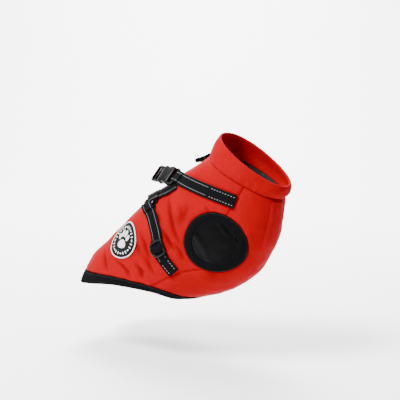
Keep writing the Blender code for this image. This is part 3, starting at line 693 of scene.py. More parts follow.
def dark_lining():
    """Charcoal lining of the inner face, a soft brushed knit."""
    m = Finish("charcoal lining")
    nap = m.noise(m.where("Object"), 900.0, 3.0, 0.6)
    return m.made(base_color=m.ramp(nap, 0.3, (0.010, 0.010, 0.011), 0.7, (0.022, 0.022, 0.024)),
                  normal=m.bump(nap, 0.25, 0.0004),
                  roughness=0.95, sheen_weight=0.02, specular_ior_level=0.05)


def black_rib():
    """Black rib-knit binding, matt, with a faint knit grain."""
    m = Finish("black rib knit")
    loops = m.wave(m.where("UV"), 0.55, "Y", 0.6)
    nap = m.noise(m.where("Object"), 1200.0, 2.0, 0.6)
    return m.made(base_color=m.ramp(nap, 0.3, (0.0012, 0.0013, 0.0015), 0.7, (0.0030, 0.0032, 0.0036)),
                  normal=m.bump(nap, 0.2, 0.0003, m.bump(loops, 0.2, 0.0003)),
                  roughness=0.8, sheen_weight=0.004, sheen_roughness=0.4, specular_ior_level=0.02)


def black_webbing(name, low, high):
    """Black webbing of coarse weave, with two grey reflective lines from low to high, in mm along it."""
    m = Finish(name)
    uv, wide_uv = m.where("UV"), m.where("UV", (WEBBING_WIDTH, 1.0, 1.0))
    parts = m.add("SeparateXYZ", vector=uv)
    off_middle = m.maths("ABSOLUTE", m.maths("SUBTRACT", parts.outputs["X"], 0.5))
    from_line = m.maths("ABSOLUTE", m.maths("SUBTRACT", off_middle, GREY_LINE_PLACE))
    shown = m.maths("MULTIPLY", m.maths("GREATER_THAN", parts.outputs["Y"], low),
                    m.maths("LESS_THAN", parts.outputs["Y"], high))
    line = m.maths("MULTIPLY", m.maths("LESS_THAN", from_line, GREY_LINE_HALF), shown)
    weave = m.maths("MULTIPLY", m.wave(wide_uv, 0.55, "X"), m.wave(uv, 0.28, "Y"))
    black = m.ramp(weave, 0.1, (0.0012, 0.0012, 0.0016), 0.9, (0.0042, 0.0043, 0.0054))
    grey = m.ramp(m.noise(wide_uv, 0.9, 2.0), 0.35, (0.045, 0.050, 0.050), 0.65, (0.095, 0.102, 0.102))
    height = m.maths("ADD", m.maths("MULTIPLY", weave, 0.5), m.maths("MULTIPLY", line, 0.5))
    return m.made(base_color=m.mix(line, black, grey), roughness=m.scaled(line, -0.25, 0.72),
                  normal=m.bump(height, 0.5, 0.0003), specular_ior_level=0.03)


def badge_cloth(name, dark, light):
    """Embroidered badge thread: short satin stitches that catch the light a little, with a painted sheen: the
    satin stripes lighten and darken the colour, and a fine noise adds nap.
    """
    m = Finish(name)
    place = m.where("Object")
    satin = m.wave(place, 420.0, "DIAGONAL", 1.5)
    # Painted sheen: the satin stripes, with a little nap noise, vary the colour from dark to light.
    sheen = m.maths("MULTIPLY", m.maths("ADD", satin, m.noise(place, 1500.0, 2.0)), 0.5)
    return m.made(base_color=m.ramp(sheen, 0.3, dark, 0.7, light), normal=m.bump(satin, 0.3, 0.0003),
                  roughness=0.7, specular_ior_level=0.08)


def black_nylon():
    """Moulded nylon: dark, a little glossy, with a very fine grain and rubbed patches."""
    m = Finish("black nylon")
    grain = m.noise(m.where("Object"), 2500.0, 2.0)
    patches = m.noise(m.where("Object"), 160.0, 3.0)
    shade = m.ramp(patches, 0.35, (0.0008, 0.0008, 0.0010), 0.75, (0.00152, 0.00152, 0.0019))
    return m.made(base_color=shade, roughness=m.scaled(patches, 0.16, 0.26),
                  normal=m.bump(grain, 0.06, 0.0002), specular_ior_level=0.17)


def nickel_wire():
    """Dull nickel-plated wire with fine drawn lines."""
    m = Finish("nickel wire")
    lines = m.noise(m.where("Object"), 700.0, 3.0)
    return m.made(base_color=m.ramp(lines, 0.3, (0.030, 0.031, 0.033), 0.7, (0.065, 0.067, 0.070)),
                  roughness=m.scaled(lines, 0.2, 0.22), metallic=1.0)


def thread(name, dark, light):
    """Twisted sewing thread: fine slanting bands."""
    m = Finish(name)
    twist = m.wave(m.where("Object"), 1500.0, "DIAGONAL", 0.5)
    return m.made(base_color=m.ramp(twist, 0.2, dark, 0.8, light), normal=m.bump(twist, 0.3, 0.0002),
                  roughness=0.6)


# ---------------------------------------------------------------- cloth
def surface_relief(row, angle, points):
    """Folds, creases, slow unevenness, and puckers that fade away from the two bindings."""
    trough, ridge = crease_parts(row, angle)
    around = angle * ANGLE_LENGTH
    from_hem = (row - hem_top(angle)) * ROW_LENGTH
    pucker = np.sin(2 * math.pi * around / PUCKER_PITCH + 2.2 * np.sin(around / 29.0))
    pucker = PUCKER_HEIGHT * pucker * np.exp(-from_hem / PUCKER_FADE)
    turn = np.arctan2(points[..., 2] - ARMHOLE_Z, points[..., 0] - ARMHOLE_X)
    gather = np.sin(turn * GATHERS + 1.4 * np.sin(turn * 5.0))
    gather = GATHER_HEIGHT * gather * np.exp(-off_the_armhole(points) / GATHER_FADE)
    height = fold_sum(row, angle) + trough + ridge + unevenness(row, angle)
    return height + pucker + gather, trough


def neck_seam_depth(angle):
    """The neck seam is a clear groove at the front and fades towards the back."""
    return 0.35 + 0.45 * np.clip((np.abs(angle) - 40) / 80, 0, 1)


def edge_roll(distance):
    """Sewn edges turn down: a dip of 1.1 mm that is gone 5 mm from the edge."""
    return -1.1 * np.exp(-(distance / 2.2) ** 2)


def make_panel(node, rows, angles, from_side, red, lining):
    """A panel on a grid of rows and angles, moved out by its relief and down at its sewn edges.

    Its wall and rim are of the lining. Painted shade darkens the cloth's colour inside the creases and along
    the seams.
    """
    row, angle = both(rows[:, None], angles)
    turned = wrapped(angle)
    row = above_hem(row, turned)
    from_neck = (1 - row) * ROW_LENGTH
    from_edge = np.minimum(from_side, (row - hem_top(turned)) * ROW_LENGTH)
    relief, trough = surface_relief(row, turned, body_skin(row, turned))
    height = relief * np.clip(0.25 + from_neck / 9, 0, 1) + edge_roll(from_edge)
    height = height + edge_roll(from_neck) * neck_seam_depth(turned)
    # Painted shade: the crease troughs, and a thin band along the sewn edges, darken the cloth's colour.
    shade = np.clip(-CREASE_SHADE * trough, 0, 1) + SEAM_SHADE * np.exp(-(from_edge / 1.1) ** 2)
    points = raised(body_skin, row, turned, height)
    uv = laid_out(row, angle)[..., ::-1]
    piece = mesh_piece(node + "_cloth", points, grid_faces(*row.shape), red, uv, shade=shade)
    piece.data.materials.append(lining)
    wall = walled(piece, CLOTH_WALL)
    wall.material_offset = 1
    wall.material_offset_rim = 1
    dress(piece, "red_shell", node)


def make_back_panel(red, lining):
    """Columns run from the right seam over the back line to the left seam."""
    rows = panel_rows()
    edge = panel_edges(rows)[0][:, None]
    share = np.linspace(-1, 1, BACK_COLUMNS + 1)[None, :]
    from_side = (1 - np.abs(share)) * edge * ANGLE_LENGTH
    make_panel("back_panel", rows, edge * share, from_side, red, lining)


def make_chest_panel(red, lining):
    """Columns run from the left seam under the chest to the right seam."""
    rows = panel_rows()
    edge = panel_edges(rows)[1][:, None]
    share = np.linspace(0, 1, CHEST_COLUMNS + 1)[None, :]
    angles = edge + (360 - 2 * edge) * share
    from_side = np.minimum(share, 1 - share) * (360 - 2 * edge) * ANGLE_LENGTH * 0.8
    make_panel("chest_panel", rows, angles, from_side, red, lining)


def rolled_profile(rise, thick, steps):
    """A folded band seen end on: up the outer face, round the top in a half circle, down the inside.

    Columns: share of the way up (a little over 1 at the fold), and depth in millimetres from the outer
    face, 0 outside and minus inside.
    """
    up, over, down = steps
    outer = np.stack([np.linspace(0, 1, up), np.zeros(up)], -1)
    turn = np.linspace(0, math.pi, over + 2)[1:-1]
    fold = np.stack([1 + np.sin(turn) * thick / 2 / rise, -thick / 2 * (1 - np.cos(turn))], -1)
    inner = np.stack([np.linspace(1, 0, down), np.full(down, -thick)], -1)
    bottom = np.stack([np.zeros(2), [-thick * 0.66, -thick * 0.33]], -1)
    return np.concatenate([outer, fold, inner, bottom])


def columns_round(count):
    """Angles of the columns of a closed band."""
    return (np.arange(count) * 360 / count - 180)[None, :]


def make_collar(red):
    """Stand collar: the rolled profile on the collar's skin, puffed between its seam and its fold.

    Its seam sinks into a groove. Two rows of slow waves ease it. Its front end laps over on the centre
    line: the outer face steps up there and falls off over 1.2 degrees.
    """
    profile = rolled_profile(COLLAR_RISE, COLLAR_WALL, (22, 9, 16))
    share, depth = profile[:, :1], profile[:, 1:]
    angle = columns_round(COLLAR_COLUMNS)
    up = np.clip(share, 0, 1)
    puff = COLLAR_PUFF * np.sin(math.pi * up) ** 0.7
    sink = -1.5 * np.exp(-(up * COLLAR_RISE / 2.4) ** 2) * neck_seam_depth(angle)
    u = angle * ANGLE_LENGTH
    low_wave = 0.35 * np.sin(2 * math.pi * u / 17.0 + 1.7 * np.sin(u / 21.0))
    ease = low_wave * np.exp(-((up * COLLAR_RISE - 5) / 7) ** 2) * np.clip(up * COLLAR_RISE / 5, 0, 1)
    ease = ease + 0.30 * np.sin(2 * math.pi * (u / 53.0 + up * 0.8)) * np.sin(math.pi * up)
    lap = np.clip((np.abs(angle) - 150) / 12, 0, 1) * (angle < 0) * np.clip((180 + angle) / 1.2, 0, 1)
    outer_face = puff + sink + ease + COLLAR_LAP * lap
    height = depth + np.where(depth > -COLLAR_WALL / 2, outer_face, 0.25 * puff)
    row, angle = both(0.004 + 0.996 * share, angle)
    beyond = unit(collar_skin(np.ones_like(row), angle) - collar_skin(np.full_like(row, 0.98), angle))
    points = collar_skin(np.minimum(row, 1.0), angle)
    points = points + outward(collar_skin, np.minimum(row, 0.99), angle) * height[..., None]
    points = points + beyond * (np.maximum(row - 1, 0) * COLLAR_RISE)[..., None]
    uv = np.stack([angle * ANGLE_LENGTH, row * COLLAR_RISE], -1)
    piece = mesh_piece("collar_cloth", points, grid_faces(*row.shape, True, True), red, uv)
    dress(piece, "red_shell", "collar")


def band_height(profile, ribs, sag=0.0):
    """Height of a binding's grid: crowned and ribbed outside, with fainter ribs inside."""
    up = np.clip(profile[:, :1], 0, 1)
    crown = BINDING_CROWN * (1 - (2 * up - 1) ** 2)
    outer_face = crown + ribs + sag * up * (1 - up) * 2
    return profile[:, 1:] + np.where(profile[:, 1:] > -BINDING_WALL / 2, outer_face, RIB_INSIDE * ribs)


def make_binding(name, node, points, uv, black):
    """A folded rib-knit band from its closed grid of points."""
    faces = grid_faces(*points.shape[:2], True, True)[:, ::-1]
    piece = mesh_piece(name, points, faces, black, uv)
    dress(piece, "black_rib", node)


def make_hem_binding(black):
    """Wide rib-knit band folded round the lower edge: a crowned face outside, and a plainer one inside."""
    profile = rolled_profile(HEM_BAND * ROW_LENGTH, BINDING_WALL, BINDING_STEPS)
    angle = columns_round(HEM_COLUMNS)
    turn = np.arange(HEM_COLUMNS)[None, :] * 2 * math.pi / HEM_COLUMNS
    ribs = RIB_HEIGHT * np.cos(turn * round(HEM_ROUND / RIB_PITCH))
    sag = 0.35 * np.sin(2 * math.pi * angle * ANGLE_LENGTH / 41.0 + 0.6)
    height = band_height(profile, ribs, sag)
    row, angle = both((1 - profile[:, :1]) * hem_top(angle), angle)
    on_cloth = np.maximum(row, 0.0)
    beyond = unit(cloth(np.zeros_like(row), angle) - cloth(np.full_like(row, 0.01), angle))
    points = cloth(on_cloth, angle) + outward(body_skin, on_cloth, angle) * height[..., None]
    points = points + beyond * (np.maximum(-row, 0) * ROW_LENGTH)[..., None]
    uv = laid_out(row, angle)[..., ::-1]
    make_binding("hem_binding_knit", "hem_binding", points, uv, black)


def make_armhole_binding(side, black):
    """The same rib-knit band folded round an armhole's edge, on rings of the side view's ellipse."""
    profile = rolled_profile(ARMHOLE_BAND, BINDING_WALL, BINDING_STEPS)
    share = profile[:, :1]
    turn = (np.arange(ARMHOLE_COLUMNS) * 2 * math.pi / ARMHOLE_COLUMNS)[None, :]
    row, angle = armhole_ring(turn, SEAM_GAP / 2 + ARMHOLE_BAND * np.clip(share, 0, 1), side)
    height = band_height(profile, RIB_HEIGHT * np.cos(turn * round(ARMHOLE_ROUND / RIB_PITCH)))
    normal = outward(body_skin, row, angle)
    inward = np.stack([-np.cos(turn), 0 * turn, side * np.sin(turn)], -1)
    inward = unit(inward - normal * (inward * normal).sum(-1, keepdims=True))
    points = cloth(row, angle) + normal * height[..., None]
    points = points + inward * (np.maximum(share - 1, 0) * ARMHOLE_BAND)[..., None]
    uv = np.stack(np.broadcast_arrays(turn * 42, share * ARMHOLE_BAND), -1)
    make_binding("armhole_binding_knit_" + SIDES[side], "armhole_binding_" + SIDES[side], points, uv,
                 black)


def placket_angles(angles, offset):
    """Angles of points that lie an offset in millimetres beside the front facing's middle line."""
    return angles + offset / (ANGLE_LENGTH * CHEST_NARROWER)


def make_placket(red):
    """Front facing strip: a thin wall on the chest's points, its two long edges turned under."""
    spots = between_rows(PLACKET_PATH, np.linspace(0, 1, 60))
    offset = np.linspace(-0.5, 0.5, 24)[None, :] * PLACKET_WIDTH
    row, angle = both(spots[:, :1], placket_angles(spots[:, 1:2], offset))
    turned_under = 1.7 * np.exp(-((PLACKET_WIDTH / 2 - np.abs(offset)) / 1.3) ** 2)
    points = cloth(row, angle, PLACKET_THICK + LIE_ON - turned_under)
    uv = laid_out(row, angle)[..., ::-1]
    piece = mesh_piece("front_placket_cloth", points, grid_faces(*row.shape)[:, ::-1], red, uv)
    walled(piece, PLACKET_WALL)
    dress(piece, "red_shell", "front_placket")


# ---------------------------------------------------------------- stitches
def stitches(name, middle, ahead, up, sizes, material, slot):
    """A row of thread stitches: each a six-sided spindle, thickest in its middle, laid along the line."""
    length, gap, thick = sizes
    run = lengths_along(middle)
    starts = np.arange(gap, run[-1] - length, length + gap)
    at = starts[:, None] + np.array([0.0, 0.18, 0.5, 0.82, 1.0]) * length
    centre, along, out = [np.stack([np.interp(at, run, v[:, k]) for k in range(3)], -1)
                          for v in (middle, ahead, up)]
    along, out = unit(along), unit(out)
    centre = centre + out * (thick * np.array([-0.35, 0.1, 0.25, 0.1, -0.35]))[:, None]
    radius = (thick / 2 * np.array([0.25, 0.85, 1.0, 0.85, 0.25]))[:, None, None]
    turn = np.arange(6)[:, None] * math.pi / 3
    ring = np.cross(along, out)[:, :, None] * np.cos(turn) + out[:, :, None] * np.sin(turn)
    points = (centre[:, :, None] + ring * radius).reshape(-1, 3)
    first = (np.arange(len(starts)) * 30)[:, None, None]
    quads = (grid_faces(5, 6, ring_columns=True) + first).reshape(-1, 4)
    fan = np.array([(0, 1, 2), (0, 2, 3), (0, 3, 4), (0, 4, 5)])
    ends = (np.concatenate([fan[:, ::-1], fan + 24]) + first).reshape(-1, 3)
    dress(mesh_piece(name, points, quads, material, triangles=ends), slot)


def stitch_row(name, row, angle, lift, sizes, material, slot):
    """Stitches along given rows and angles of the cloth."""
    line = cloth(row, angle, lift)
    ahead, up = unit(np.gradient(line, axis=0)), outward(body_skin, row, angle)
    stitches(name, line, ahead, up, sizes, material, slot)


def placket_stitches(red_thread):
    """Fine top stitching down both long edges of the front facing."""
    row, middle = between_rows(PLACKET_PATH, np.linspace(0, 1, 80))[:, :2].T
    for name, offset in (("near", 0.36), ("far", -0.36)):
        stitch_row("placket_stitches_" + name, row, placket_angles(middle, offset * PLACKET_WIDTH),
                   LIE_ON + PLACKET_THICK + 0.02, PLACKET_STITCH, red_thread, "red_shell")


def binding_stitches(black_thread):
    """One row of stitches along the inner edge of each binding."""
    look = (BINDING_CROWN * 0.5 + 0.2, BINDING_STITCH, black_thread, "black_rib")
    angle = np.linspace(-180, 180, 500)
    stitch_row("hem_binding_stitches", hem_top(angle) * (1 - BINDING_SEAM), angle, *look)
    for side, name in SIDES.items():
        row, angle = armhole_ring(np.linspace(0, 2 * math.pi, 300), ARMHOLE_BAND * BINDING_SEAM, side)
        stitch_row("armhole_stitches_" + name, row, angle, *look)


# ---------------------------------------------------------------- harness
# A line of webbing is three arrays: its middle, the way across it, and the way out of its face.
def strap_line(path, side, thick=WEBBING_THICK, lie=LIE_ON):
    """A strap at even steps along its path on the cloth, its cut ends turned as the path says."""
    fine = between_rows(path, np.linspace(0, 1, 60))
    length = lengths_along(cloth(fine[:, 0], side * fine[:, 1]))[-1]
    spots = between_rows(path, np.linspace(0, 1, max(4, round(length / 2.5)) + 1))
    row, angle = spots[:, 0], side * spots[:, 1]
    middle = cloth(row, angle, spots[:, 2] + lie + thick / 2)
    ahead = unit(np.gradient(middle, axis=0))
    square = unit(np.cross(outward(body_skin, row, angle), ahead))
    across = square + ahead * np.tan(np.radians(side * spots[:, 3]))[:, None]
    return middle, across, unit(np.cross(ahead, square))


def smoothed(values, rounds, ring=False):
    """Each row moved to the mean of itself and its neighbours, a few times; an open line's ends stay."""
    for _ in range(rounds):
        mean = (np.roll(values, 1, 0) + 2 * values + np.roll(values, -1, 0)) / 4
        if not ring:
            mean[[0, -1]] = values[[0, -1]]
        values = mean
    return values


def looped(line, bar_middle, start=False):
    """A strap led on round a bar and laid back on itself: along its path, half a turn, and back over it.

    The bar is at the path's first point where start is true, and otherwise at its last.
    """
    middle, across, normal = [values[::-1] for values in line] if start else line
    radius = RING_WIRE / 2 + WEBBING_THICK / 2 + LOOP_CLEAR
    axis = unit(across[-1])
    toward = unit(bar_middle - middle[-1] - axis * ((bar_middle - middle[-1]) @ axis))
    up = normal[-1] - toward * (normal[-1] @ toward)
    up = unit(up - axis * (up @ axis))
    toward = unit(toward - up * (toward @ up))
    turn = np.linspace(0.15, math.pi * 0.93, 14)[:, None]
    arc = bar_middle + radius * (-up * np.cos(turn) + toward * np.sin(turn))
    run = lengths_along(middle)
    keep = run < run[-1] - 1.0
    over = run[keep] > run[-1] - LOOP_BACK
    middle, across, normal = middle[keep], across[keep], normal[keep]
    upper = (middle + normal * (WEBBING_THICK + LOOP_CLEAR))[over][::-1][1:]
    wide = np.concatenate([across, np.repeat(across[-1:], len(arc), 0), across[over][::-1][1:]])
    path = smoothed(np.concatenate([middle, arc, upper]), 1)
    out = unit(np.cross(unit(np.gradient(path, axis=0)), wide))
    return path, wide, out if out[0] @ normal[0] > 0 else -out


def led_to_buckle(line):
    """The left front strap led on from the cloth to the buckle, and made smooth over the join."""
    free = between_rows(STRAP_TO_BUCKLE, np.linspace(0.12, 1, 16))
    middle = smoothed(np.concatenate([line[0], free[:, :3]]), 3)
    across = unit(smoothed(np.concatenate([line[1], unit(free[:, 3:])]), 3))
    ahead = unit(np.gradient(middle, axis=0))
    across = unit(across - ahead * (across * ahead).sum(-1, keepdims=True))
    return middle, across, np.cross(ahead, across)


def webbing(name, nodes, line, material):
    """A strip of webbing, which is cut as long as its middle line."""
    piece = strip(name, line, WEBBING_WIDTH, WEBBING_THICK, material)
    dress(piece, "black_webbing", *nodes)


def sewn_end(name, line, light_thread, at_start, reach):
    """Two rows of light dashes along the grey lines of a strap, over the sewn stretch at one end."""
    run = lengths_along(line[0])
    keep = run <= reach if at_start else run >= run[-1] - reach
    middle, across, normal = [values[keep] for values in line]
    ahead = unit(np.gradient(middle, axis=0))
    for label, share in (("a", -GREY_LINE_PLACE), ("b", GREY_LINE_PLACE)):
        row = middle + unit(across) * (share * WEBBING_WIDTH) + normal * (WEBBING_THICK / 2 + 0.08)
        stitches(f"{name}_stitches_{label}", row, ahead, normal, SEWN_STITCH, light_thread, "badge_white")


def make_slider_loop(side, material):
    """The stretch of webbing that goes up over a slider's middle bar and down again, as a bell."""
    axes = slider_axes(side)
    x = np.linspace(-SLIDER_LENGTH / 2 - 1.5, SLIDER_LENGTH / 2 + 1.5, 34)
    low = -(SLIDER_THICK / 2 + 0.5 + WEBBING_THICK / 2)
    high = SLIDER_BAR_THICK / 2 + WEBBING_THICK / 2 + 0.1
    bell = np.exp(-(np.abs(x) / 6.2) ** 3.2)
    middle = placed(np.stack([x, 0 * x, low + (high - low) * bell - x ** 2 / 260], -1), axes)
    across = np.broadcast_to(axes[2], middle.shape)
    line = middle, across, unit(np.cross(unit(np.gradient(middle, axis=0)), across))
    webbing("slider_loop_" + SIDES[side], [], line, material)


def make_ring_patch(side, material):
    """A thin strip of plain black webbing laid on the cloth under the ring, between the back band and the
    rear strap.
    """
    line = strap_line(RING_PATCH_PATH, side, PATCH_THICK, PATCH_LIFT)
    piece = strip("ring_patch_" + SIDES[side], line, PATCH_WIDTH, PATCH_THICK, material)
    dress(piece, "black_webbing")


def make_straps(side, webs, light_thread):
    """One side's front strap, back band, rear strap and its end, slider loop and ring patch."""
    lined, lined_front, lined_end, plain = webs
    name = SIDES[side]
    if side == RIGHT:
        bar_middle = placed(np.array([SOCKET_BAR, 0.0, 0.0]), buckle_axes())
        front = looped(strap_line(FRONT_STRAP_RIGHT_PATH, side), bar_middle)
        band_path = np.vstack([BAND_UNDER_BUCKLE, BACK_BAND_PATH])
    else:
        front = led_to_buckle(strap_line(FRONT_STRAP_LEFT_PATH, side))
        band_path = BACK_BAND_PATH
    webbing("front_strap_web_" + name, ["front_strap_" + name], front, lined_front)
    sewn_end("front_strap_" + name, front, light_thread, True, SEWN_START)
    bar_ends = np.array([[-RING_LENGTH / 2, 0.0, 0.0], [RING_LENGTH / 2, 0.0, 0.0]])
    front_bar, rear_bar = placed(bar_ends, ring_axes(side))
    band = looped(strap_line(band_path, side), front_bar)
    webbing("back_band_web_" + name, ["back_band_" + name], band, lined)
    rear = looped(strap_line(REAR_STRAP_PATH, side), rear_bar, True)
    webbing("rear_strap_web_" + name, ["rear_strap_" + name], rear, lined)
    end = strap_line(STRAP_END_PATH, side)
    webbing("rear_strap_end_web_" + name, ["rear_strap_end_" + name], end, lined_end)
    sewn_end("rear_strap_end_" + name, end, light_thread, False, SEWN_END)
    make_slider_loop(side, plain)
    make_ring_patch(side, plain)


def make_nape_tab(material):
    """A webbing loop sewn down at its front end: out along the back, half a turn, and back over itself.

    It lies on the back line, where both sides have the same angle.
    """
    middle, across, normal = strap_line(NAPE_TAB_PATH, LEFT)
    gap = WEBBING_THICK + 0.1 + TAB_OPENING * np.linspace(0, 1, len(middle)) ** 1.5
    radius, ahead = gap[-1] / 2, unit(middle[-1] - middle[-2])
    turn = np.linspace(0, math.pi, 11)[1:-1, None]
    arc = middle[-1] + normal[-1] * radius + radius * (ahead * np.sin(turn) - normal[-1] * np.cos(turn))
    path = np.concatenate([middle, arc, (middle + normal * gap[:, None])[::-1]])
    wide = np.concatenate([across, np.repeat(across[-1:], len(arc), 0), across[::-1]])
    out = unit(np.cross(unit(np.gradient(path, axis=0)), wide))
    webbing("nape_tab_web", ["nape_tab"], (path, wide, out), material)


# ---------------------------------------------------------------- hardware
def frame_axes(place, along, face):
    """Origin and three square axes: along, across and out, in millimetres."""
    along = unit(along)
    face = unit(face - along * (along @ face))
    return place, along, np.cross(face, along), face


def seat_axes(row, angle, ahead_row, ahead_angle, lift):
    """Axes that lie on the cloth at one point and look towards another."""
    here = cloth(row, angle, lift)
    normal = outward(body_skin, np.array(row), np.array(angle))
    ahead = cloth(ahead_row, ahead_angle, lift) - here
    return frame_axes(here, ahead - normal * (ahead @ normal), normal)


def slider_axes(side):
    lift = LIE_ON + WEBBING_THICK + 0.5 + SLIDER_THICK / 2
    return seat_axes(SLIDER_ROW, side * SLIDER_ANGLE, SLIDER_ROW - 0.045, side * (SLIDER_ANGLE + 9.0), lift)


def ring_axes(side):
    lift = LIE_ON + RING_WIRE / 2 + 1.0
    return seat_axes(RING_ROW, side * RING_ANGLE, RING_ROW - 0.060, side * (RING_ANGLE + 10.5), lift)


def buckle_axes():
    return frame_axes(BUCKLE_MIDDLE, BUCKLE_ALONG, BUCKLE_FACE)


def placed(local, axes):
    """Points given along, across and out of a frame, in the coat's own axes."""
    place, along, across, out = axes
    return place + local[..., :1] * along + local[..., 1:2] * across + local[..., 2:3] * out


def rounded_loop(length, width, corner, steps=6, centre=0.0):
    """Outline of a rectangle with quarter-circle corners, anticlockwise, as an array."""
    turn = np.radians(np.concatenate([np.linspace(90 * q, 90 * q + 90, steps + 1) for q in range(4)]))
    sx = np.repeat([1, -1, -1, 1], steps + 1)
    sy = np.repeat([1, 1, -1, -1], steps + 1)
    x = centre + sx * (length / 2 - corner) + corner * np.cos(turn)
    y = sy * (width / 2 - corner) + corner * np.sin(turn)
    return np.stack([x, y], -1)


def evened(outline, count):
    """The same closed outline at even steps."""
    closed = np.vstack([outline, outline[:1]])
    run = lengths_along(closed)
    at = np.linspace(0, run[-1], count, endpoint=False)
    return np.stack([np.interp(at, run, closed[:, k]) for k in range(2)], -1)


def soft_circle(turns, square):
    """Cosine and sine round a circle, each to a power: below 1 it swells the circle towards a square."""
    turn = np.arange(turns) * 2 * math.pi / turns
    return [np.sign(value) * np.abs(value) ** square for value in (np.cos(turn), np.sin(turn))]


def wire_loop(outline, thick_across, thick_up, axes, square=1.0):
    """A round or soft square wire carried along a flat closed outline."""
    ahead = unit(np.roll(outline, -1, 0) - np.roll(outline, 1, 0))
    side = np.stack([ahead[:, 1], -ahead[:, 0]], -1)
    c, s = soft_circle(WIRE_TURNS, square)
    flat = outline[:, None] + side[:, None] * (c * thick_across / 2)[:, None]
    up = np.broadcast_to((s * thick_up / 2)[:, None], (*flat.shape[:2], 1))
    return placed(np.concatenate([flat, up], -1), axes), grid_faces(len(outline), WIRE_TURNS, True, True)


def cross_bar(x, reach, thick_x, thick_z, axes):
    """A straight bar across a buckle or slider: a soft square section carried from side to side."""
    c, s = soft_circle(BAR_TURNS, 0.6)
    y = np.array([-reach, -reach, reach, reach])[:, None]
    size = np.array([0.0, 1.0, 1.0, 0.0])[:, None]
    local = np.stack(np.broadcast_arrays(x + size * (c * thick_x / 2), y, size * (s * thick_z / 2)), -1)
    return placed(local, axes), grid_faces(4, BAR_TURNS, ring_columns=True)


def slab(outline_of, thick, soft, steps, axes):
    """A moulded block: outlines drawn in by a quarter circle at its two edges, and closed flat.

    outline_of(inset) gives the outline drawn in by an inset.
    """
    turn = np.linspace(0, math.pi / 2, steps)
    inset = soft * (1 - np.cos(turn))
    height = thick / 2 - soft * (1 - np.sin(turn))
    rings = [(outline_of(i), z) for i, z in [*zip(inset[::-1], -height[::-1]), *zip(inset, height)]]
    local = np.stack([np.concatenate([flat, np.full((len(flat), 1), z)], -1) for flat, z in rings])
    poles = [np.broadcast_to(local[end].mean(0), local[end].shape)[None] for end in (0, -1)]
    local = np.concatenate([poles[0], local, poles[1]])
    return placed(local, axes), grid_faces(*local.shape[:2], ring_columns=True)


def block(x, y, length, width, thick, soft, axes):
    """A small rounded block on a buckle."""
    def outline(inset):
        corner = max(soft * 0.9 - inset * 0.5, 0.2)
        return rounded_loop(length - 2 * inset, width - 2 * inset, corner, 4) + np.array([x, y])
    return slab(outline, thick, soft * 0.6, 4, axes)


def make_slider(side, material):
    """Strap slider: a D-shaped moulded rim with a wider middle bar and two slots."""
    half, reach = SLIDER_LENGTH / 2 - RIM_INSET, SLIDER_WIDTH / 2 - RIM_INSET
    turn = np.linspace(math.pi, 0, 40)
    x = half * np.sign(np.cos(turn)) * np.abs(np.cos(turn)) ** (2 / SLIDER_ROUND)
    arc = np.stack([x, side * reach * np.sin(turn) ** (2 / SLIDER_ROUND)], -1)
    low = -side * reach
    flat = [(half, low * 0.5), (half - 1.5, low), (0, low), (1.5 - half, low), (-half, low * 0.5)]
    rim = smoothed(evened(np.concatenate([arc, flat]), 96), 3, ring=True)
    axes = slider_axes(side)
    parts = [wire_loop(rim, SLIDER_RIM, SLIDER_THICK, axes, 0.75),
             cross_bar(0.0, reach, SLIDER_BAR_WIDTH, SLIDER_BAR_THICK, axes)]
    moulding("slider_moulding_" + SIDES[side], "slider_" + SIDES[side], "black_plastic", parts, material)


def make_ring(side, material):
    """Long wire ring: a circle carried round a rectangle with nearly half-round ends."""
    outline = evened(rounded_loop(RING_LENGTH, RING_WIDTH, RING_LENGTH / 2 - 0.5), 72)
    parts = [wire_loop(outline, RING_WIRE, RING_WIRE, ring_axes(side))]
    moulding("ring_wire_" + SIDES[side], "rear_ring_" + SIDES[side], "steel", parts, material)


def make_buckle(material):
    """Fastened side-release buckle: a waisted shell with raised lugs, a bar loop in front, a ladder plug."""
    axes = buckle_axes()

    def shell(inset):
        loop = rounded_loop(SHELL_LENGTH - 2 * inset, BUCKLE_WIDTH - 2 * inset, SHELL_CORNER - inset * 0.4, 6,
                            SHELL_CENTRE)
        loop = evened(loop, 120)
        x, y = loop.T
        pull = WAIST_DEPTH * np.exp(-((x - WAIST_PLACE) / WAIST_SPAN) ** 2)
        near_side = np.clip(np.abs(y) / (BUCKLE_WIDTH / 2), 0, 1) ** 4
        return np.stack([x, y - np.sign(y) * pull * near_side], -1)

    def bar_loop(length, centre, thick):
        rim = evened(rounded_loop(length, BUCKLE_WIDTH - LOOP_INSET, LOOP_CORNER, 5, centre), 84)
        return wire_loop(rim, thick, BUCKLE_BAR_THICK, axes, LOOP_SQUARE)

    socket = [slab(shell, BUCKLE_THICK, SHELL_ROUNDING, 5, axes),
              bar_loop(SOCKET_LOOP_LENGTH, SOCKET_BAR + SOCKET_LOOP_LENGTH / 2, SOCKET_LOOP_WIRE)]
    socket += [block(*sizes, axes) for sizes in SOCKET_BLOCKS]
    moulding("buckle_socket_moulding", "buckle_socket", "black_plastic", socket, material)
    plug = [bar_loop(PLUG_LOOP_LENGTH, PLUG_LOOP_CENTRE, PLUG_LOOP_WIRE)]
    for x in PLUG_BARS:
        plug.append(cross_bar(x, BUCKLE_WIDTH / 2 - 3.0, PLUG_LOOP_WIRE, BUCKLE_BAR_THICK * 0.8, axes))
    moulding("buckle_plug_moulding", "buckle_plug", "black_plastic", plug, material)


